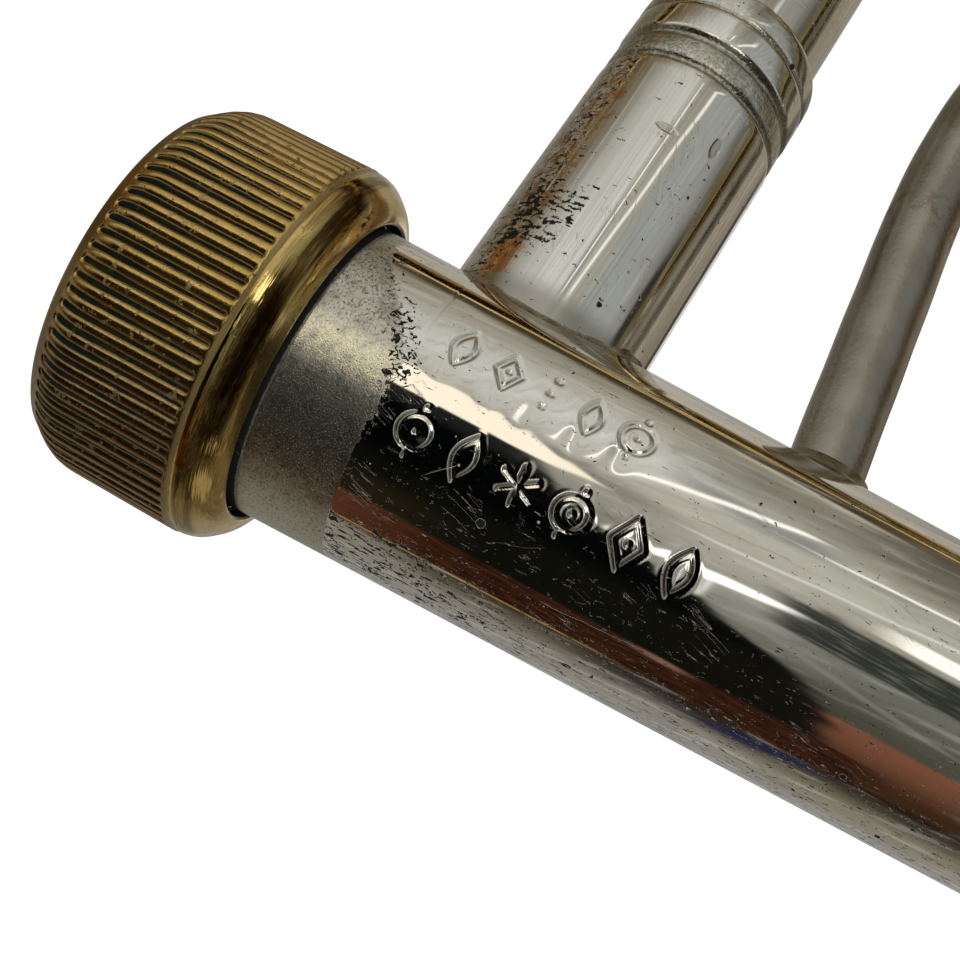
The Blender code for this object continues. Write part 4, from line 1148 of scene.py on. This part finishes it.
env = patch(env, seen(118, 124, 119), g.band(psi, 54.5, 64.0, 5.0) * g.band(el, -3.0, 2.5, 2.5) * 0.65)
env = patch(env, seen(66, 58, 44), g.band(psi, 296.0, 312.0, 6.0) * g.band(el, 15.0, 24.0, 6.0))
env = patch(env, seen(206, 202, 196), g.band(psi, 290.0, 309.0, 6.0) * g.band(el, 3.0, 13.0, 4.0))
env = patch(env, seen(36, 33, 26), g.band(psi, 9.0, 22.0, 5.0) * g.band(el, 53.5, 62.0, 2.5) * 0.9)
# window seen high up on the front
env = patch(env, (1.35, 1.33, 1.24), g.band(psi, 85.0, 94.5, 2.5) * g.band(el, 5.2, 19.0, 2.4))
env = patch(env, (2.6, 2.5, 2.3), g.band(psi, 84.0, 99.0, 3.0) * g.band(el, 9.0, 20.0, 2.0))
env = patch(env, seen(225, 224, 214), g.step(g.absf(el - (8.0 - (psi - 75.0) * 0.62)), 0.9, 0.2) * g.band(psi, 74.0, 91.0, 3.0) * 0.7)
# lamp strips
line = el - (1.3 - (psi - 51.0) * 0.285)
env = patch(env, (1.35, 1.33, 1.27), g.step(g.absf(line), 0.75, 0.15) * g.band(psi, 50.0, 79.0, 3.0))
line = el - (15.4 - (psi - 48.5) * 1.05)
env = patch(env, (1.1, 1.09, 1.05), g.step(g.absf(line), 1.5, 0.5) * g.band(psi, 43.0, 61.0, 4.0))
env = patch(env, (2.6, 2.4, 1.9), g.band(psi, 301.0, 335.0, 5.0) * g.band(el, 60.0, 73.0, 3.0))
env = patch(env, (0.45, 0.41, 0.30), g.band(psi, 206.0, 220.0, 4.0) * g.band(el, 46.0, 53.0, 3.0))
env = patch(env, (0.36, 0.33, 0.26), g.band(psi, 222.0, 250.0, 6.0) * g.band(el, 27.0, 41.0, 4.0))
# outline of a hand
hand = g.sqrtf((psi - 96.0) * (psi - 96.0) * 0.09 + (el - 6.5) * (el - 6.5)) - 3.4
env = patch(env, seen(62, 52, 36), g.step(g.absf(hand), 0.55, 0.15) * g.step(psi, 93.0, 97.0) * g.step(psi, 112.0, 104.0) * 0.8)
# mottled dark corner, then cloth above the dark shape
corner = g.noise(g.vec(psi * 0.55, el * 1.1, 7.0), 1.0, 3.0, 0.65)
env = patch(env, g.mix(seen(44, 48, 41), seen(110, 112, 100), g.step(corner, 0.50, 0.66)),
            g.band(psi, 98.5, 121.0, 3.0) * g.band(el, 1.4, 14.0, 1.6))
env = patch(env, seen(130, 133, 124), g.step(g.absf(el - (psi - 132.0) * 0.42 - 2.5 + warp), 1.0, 0.3) * g.band(psi, 118.0, 146.0, 4.0) * 0.55)
# the dark shape of whoever stands in front
top = g.step(psi, 99.0, 115.0) * 1.6 - 7.2 + g.step(psi, 114.0, 134.0) * 5.5 + g.step(psi, 132.0, 150.0) * 3.7 + g.step(psi, 146.0, 168.0) * 1.0
wobble = warp * 1.8
figure = g.step(el - top + wobble, 0.45, -0.45) * g.step(psi + wobble, 96.8, 98.6) * g.step(psi + wobble * 2.0, 185.5, 182.0) * g.step(el, -62.0, -46.0)
orange = g.band(psi, 160.0, 200.0, 6.0) * g.band(el, 4.2, 9.8, 1.6)
env = patch(env, g.mix(seen(118, 76, 56), seen(60, 36, 20), g.step(psi, 160.0, 196.0)), orange)
skin = g.band(psi, 183.0, 206.0, 2.0) * g.band(el, -46.0, 6.5, 2.0)
skin_n = g.noise(g.vec(psi * 0.55, el * 1.30, 0.0), 1.0, 4.0, 0.68)
skin_c = g.mix(seen(66, 36, 20), seen(22, 12, 8), g.step(skin_n, 0.38, 0.60))
skin_c = g.mix(skin_c, seen(104, 62, 40), g.step(el, -8.0, -12.0) * 0.40)
env = patch(env, skin_c, skin)
env = patch(env, seen(150, 112, 96), g.step(g.sqrtf((psi - 186.0) * (psi - 186.0) * 0.16 + (el + 1.0) * (el + 1.0)), 1.5, 0.4) * 0.6)
env = patch(env, seen(190, 150, 84), g.band(psi, 206.6, 207.8, 0.8) * g.step(el, -1.0, -5.0) * 0.6)
env = patch(env, seen(30, 32, 62), g.step(g.absf(el - 3.0 + (psi - 214.0) * 0.25), 1.8, 0.6) * g.band(psi, 208.0, 221.0, 3.0) * 0.85)
deep = g.mix(seen(2, 3, 3), seen(13, 13, 8), g.step(psi, 138.0, 156.0))
deep = g.mix(deep, seen(30, 26, 14), g.step(el, -7.0, -11.0) * g.step(psi, 158.0, 172.0))
deep = g.mix(deep, seen(30, 32, 29), g.step(psi, 112.0, 103.0) * 0.8)
env = patch(env, deep, figure)
glint = g.noise(g.vec(psi * 0.10, el * 3.2, 2.0), 1.0, 2.0, 0.5)
env = patch(env, seen(70, 74, 70), figure * g.step(glint, 0.66, 0.74) * g.step(psi, 132.0, 120.0) * 0.5)
blob = g.sqrtf((psi - 114.0 + (el + 2.0) * 1.7) * (psi - 114.0 + (el + 2.0) * 1.7) * 0.085 + (el + 1.0) * (el + 1.0) * 0.085)
env = patch(env, (1.6, 1.6, 1.56), g.step(blob, 1.15, 0.6))
env = patch(env, (1.2, 1.2, 1.16), g.step(g.absf(el + 1.2 + (psi - 115.0) * 0.03), 0.4, 0.1) * g.band(psi, 112.0, 129.0, 4.0) * 0.7)
# cream wall edge beside the dark shape
env = patch(env, seen(142, 133, 119), g.band(psi, 211.0, 228.0, 3.5) * g.step(el, -8.0, -11.5) * 0.7)
cream = g.step(psi, 79.5, 82.0) * g.step(psi + wobble, 98.4, 96.8) * g.step(el - (-5.2 - g.absf(psi - 92.5) * 0.34) + wobble * 0.5, 0.5, -0.5) * g.step(el, -34.0, -22.0)
env = patch(env, (1.22, 1.10, 0.93), cream)

lp = wt.nodes.new("ShaderNodeLightPath")
bg_room = wt.nodes.new("ShaderNodeBackground")
g.put(bg_room.inputs["Color"], env)
bg_white = wt.nodes.new("ShaderNodeBackground")
bg_white.inputs["Color"].default_value = (1, 1, 1, 1)
bg_white.inputs["Strength"].default_value = 1.09
mixs = wt.nodes.new("ShaderNodeMixShader")
wt.links.new(lp.outputs["Is Glossy Ray"], mixs.inputs[0])
wt.links.new(bg_white.outputs[0], mixs.inputs[1])
wt.links.new(bg_room.outputs[0], mixs.inputs[2])
out = wt.nodes.new("ShaderNodeOutputWorld")
wt.links.new(mixs.outputs[0], out.inputs["Surface"])

ld = bpy.data.lights.new("soft_key", "AREA")
ld.shape = "DISK"
ld.size = 1.4
ld.energy = 9.0
key = bpy.data.objects.new("soft_key", ld)
key.location = (0.7, -0.9, 1.6)
key.rotation_euler = (Vector((0, 0, 0.2)) - Vector(key.location)).to_track_quat("-Z", "Y").to_euler()
key.visible_glossy = False
bpy.context.scene.collection.objects.link(key)

bpy.context.scene.view_settings.view_transform = "Standard"

# ==================================================================== camera
cd = bpy.data.cameras.new("camera")
cam = bpy.data.objects.new("camera", cd)
bpy.context.scene.collection.objects.link(cam)
right = Vector((-0.3942, -0.2662, 0.8796)).normalized()
up = Vector((-0.7723, -0.4228, -0.4741))
up = (up - right * up.dot(right)).normalized()
back = right.cross(up)
CAM_AT = Vector(((RX + 48.046) * MM, -95.677 * MM, (H0 + 38.857) * MM))
rot = Matrix((right, up, back)).transposed()
cam.matrix_world = Matrix.Translation(CAM_AT) @ rot.to_4x4()
cd.sensor_width = 36.0
cd.sensor_fit = "HORIZONTAL"
cd.lens = 1828.6 / 960.0 * 36.0
cd.clip_start = 0.005
cd.clip_end = 30.0
# the view's off-centre crop holds only at the photographed station
for path, value in (("shift_x", -0.3778), ("shift_y", 0.0583)):
    fc = cd.driver_add(path)
    dr = fc.driver
    dr.type = "SCRIPTED"
    var = dr.variables.new()
    var.name = "px"
    var.type = "SINGLE_PROP"
    var.targets[0].id_type = "OBJECT"
    var.targets[0].id = cam
    var.targets[0].data_path = "location.x"
    dr.expression = "%.4f if abs(px - %.6f) < 0.0004 else 0.0" % (value, CAM_AT.x)
bpy.context.scene.camera = cam

bpy.context.view_layer.update()
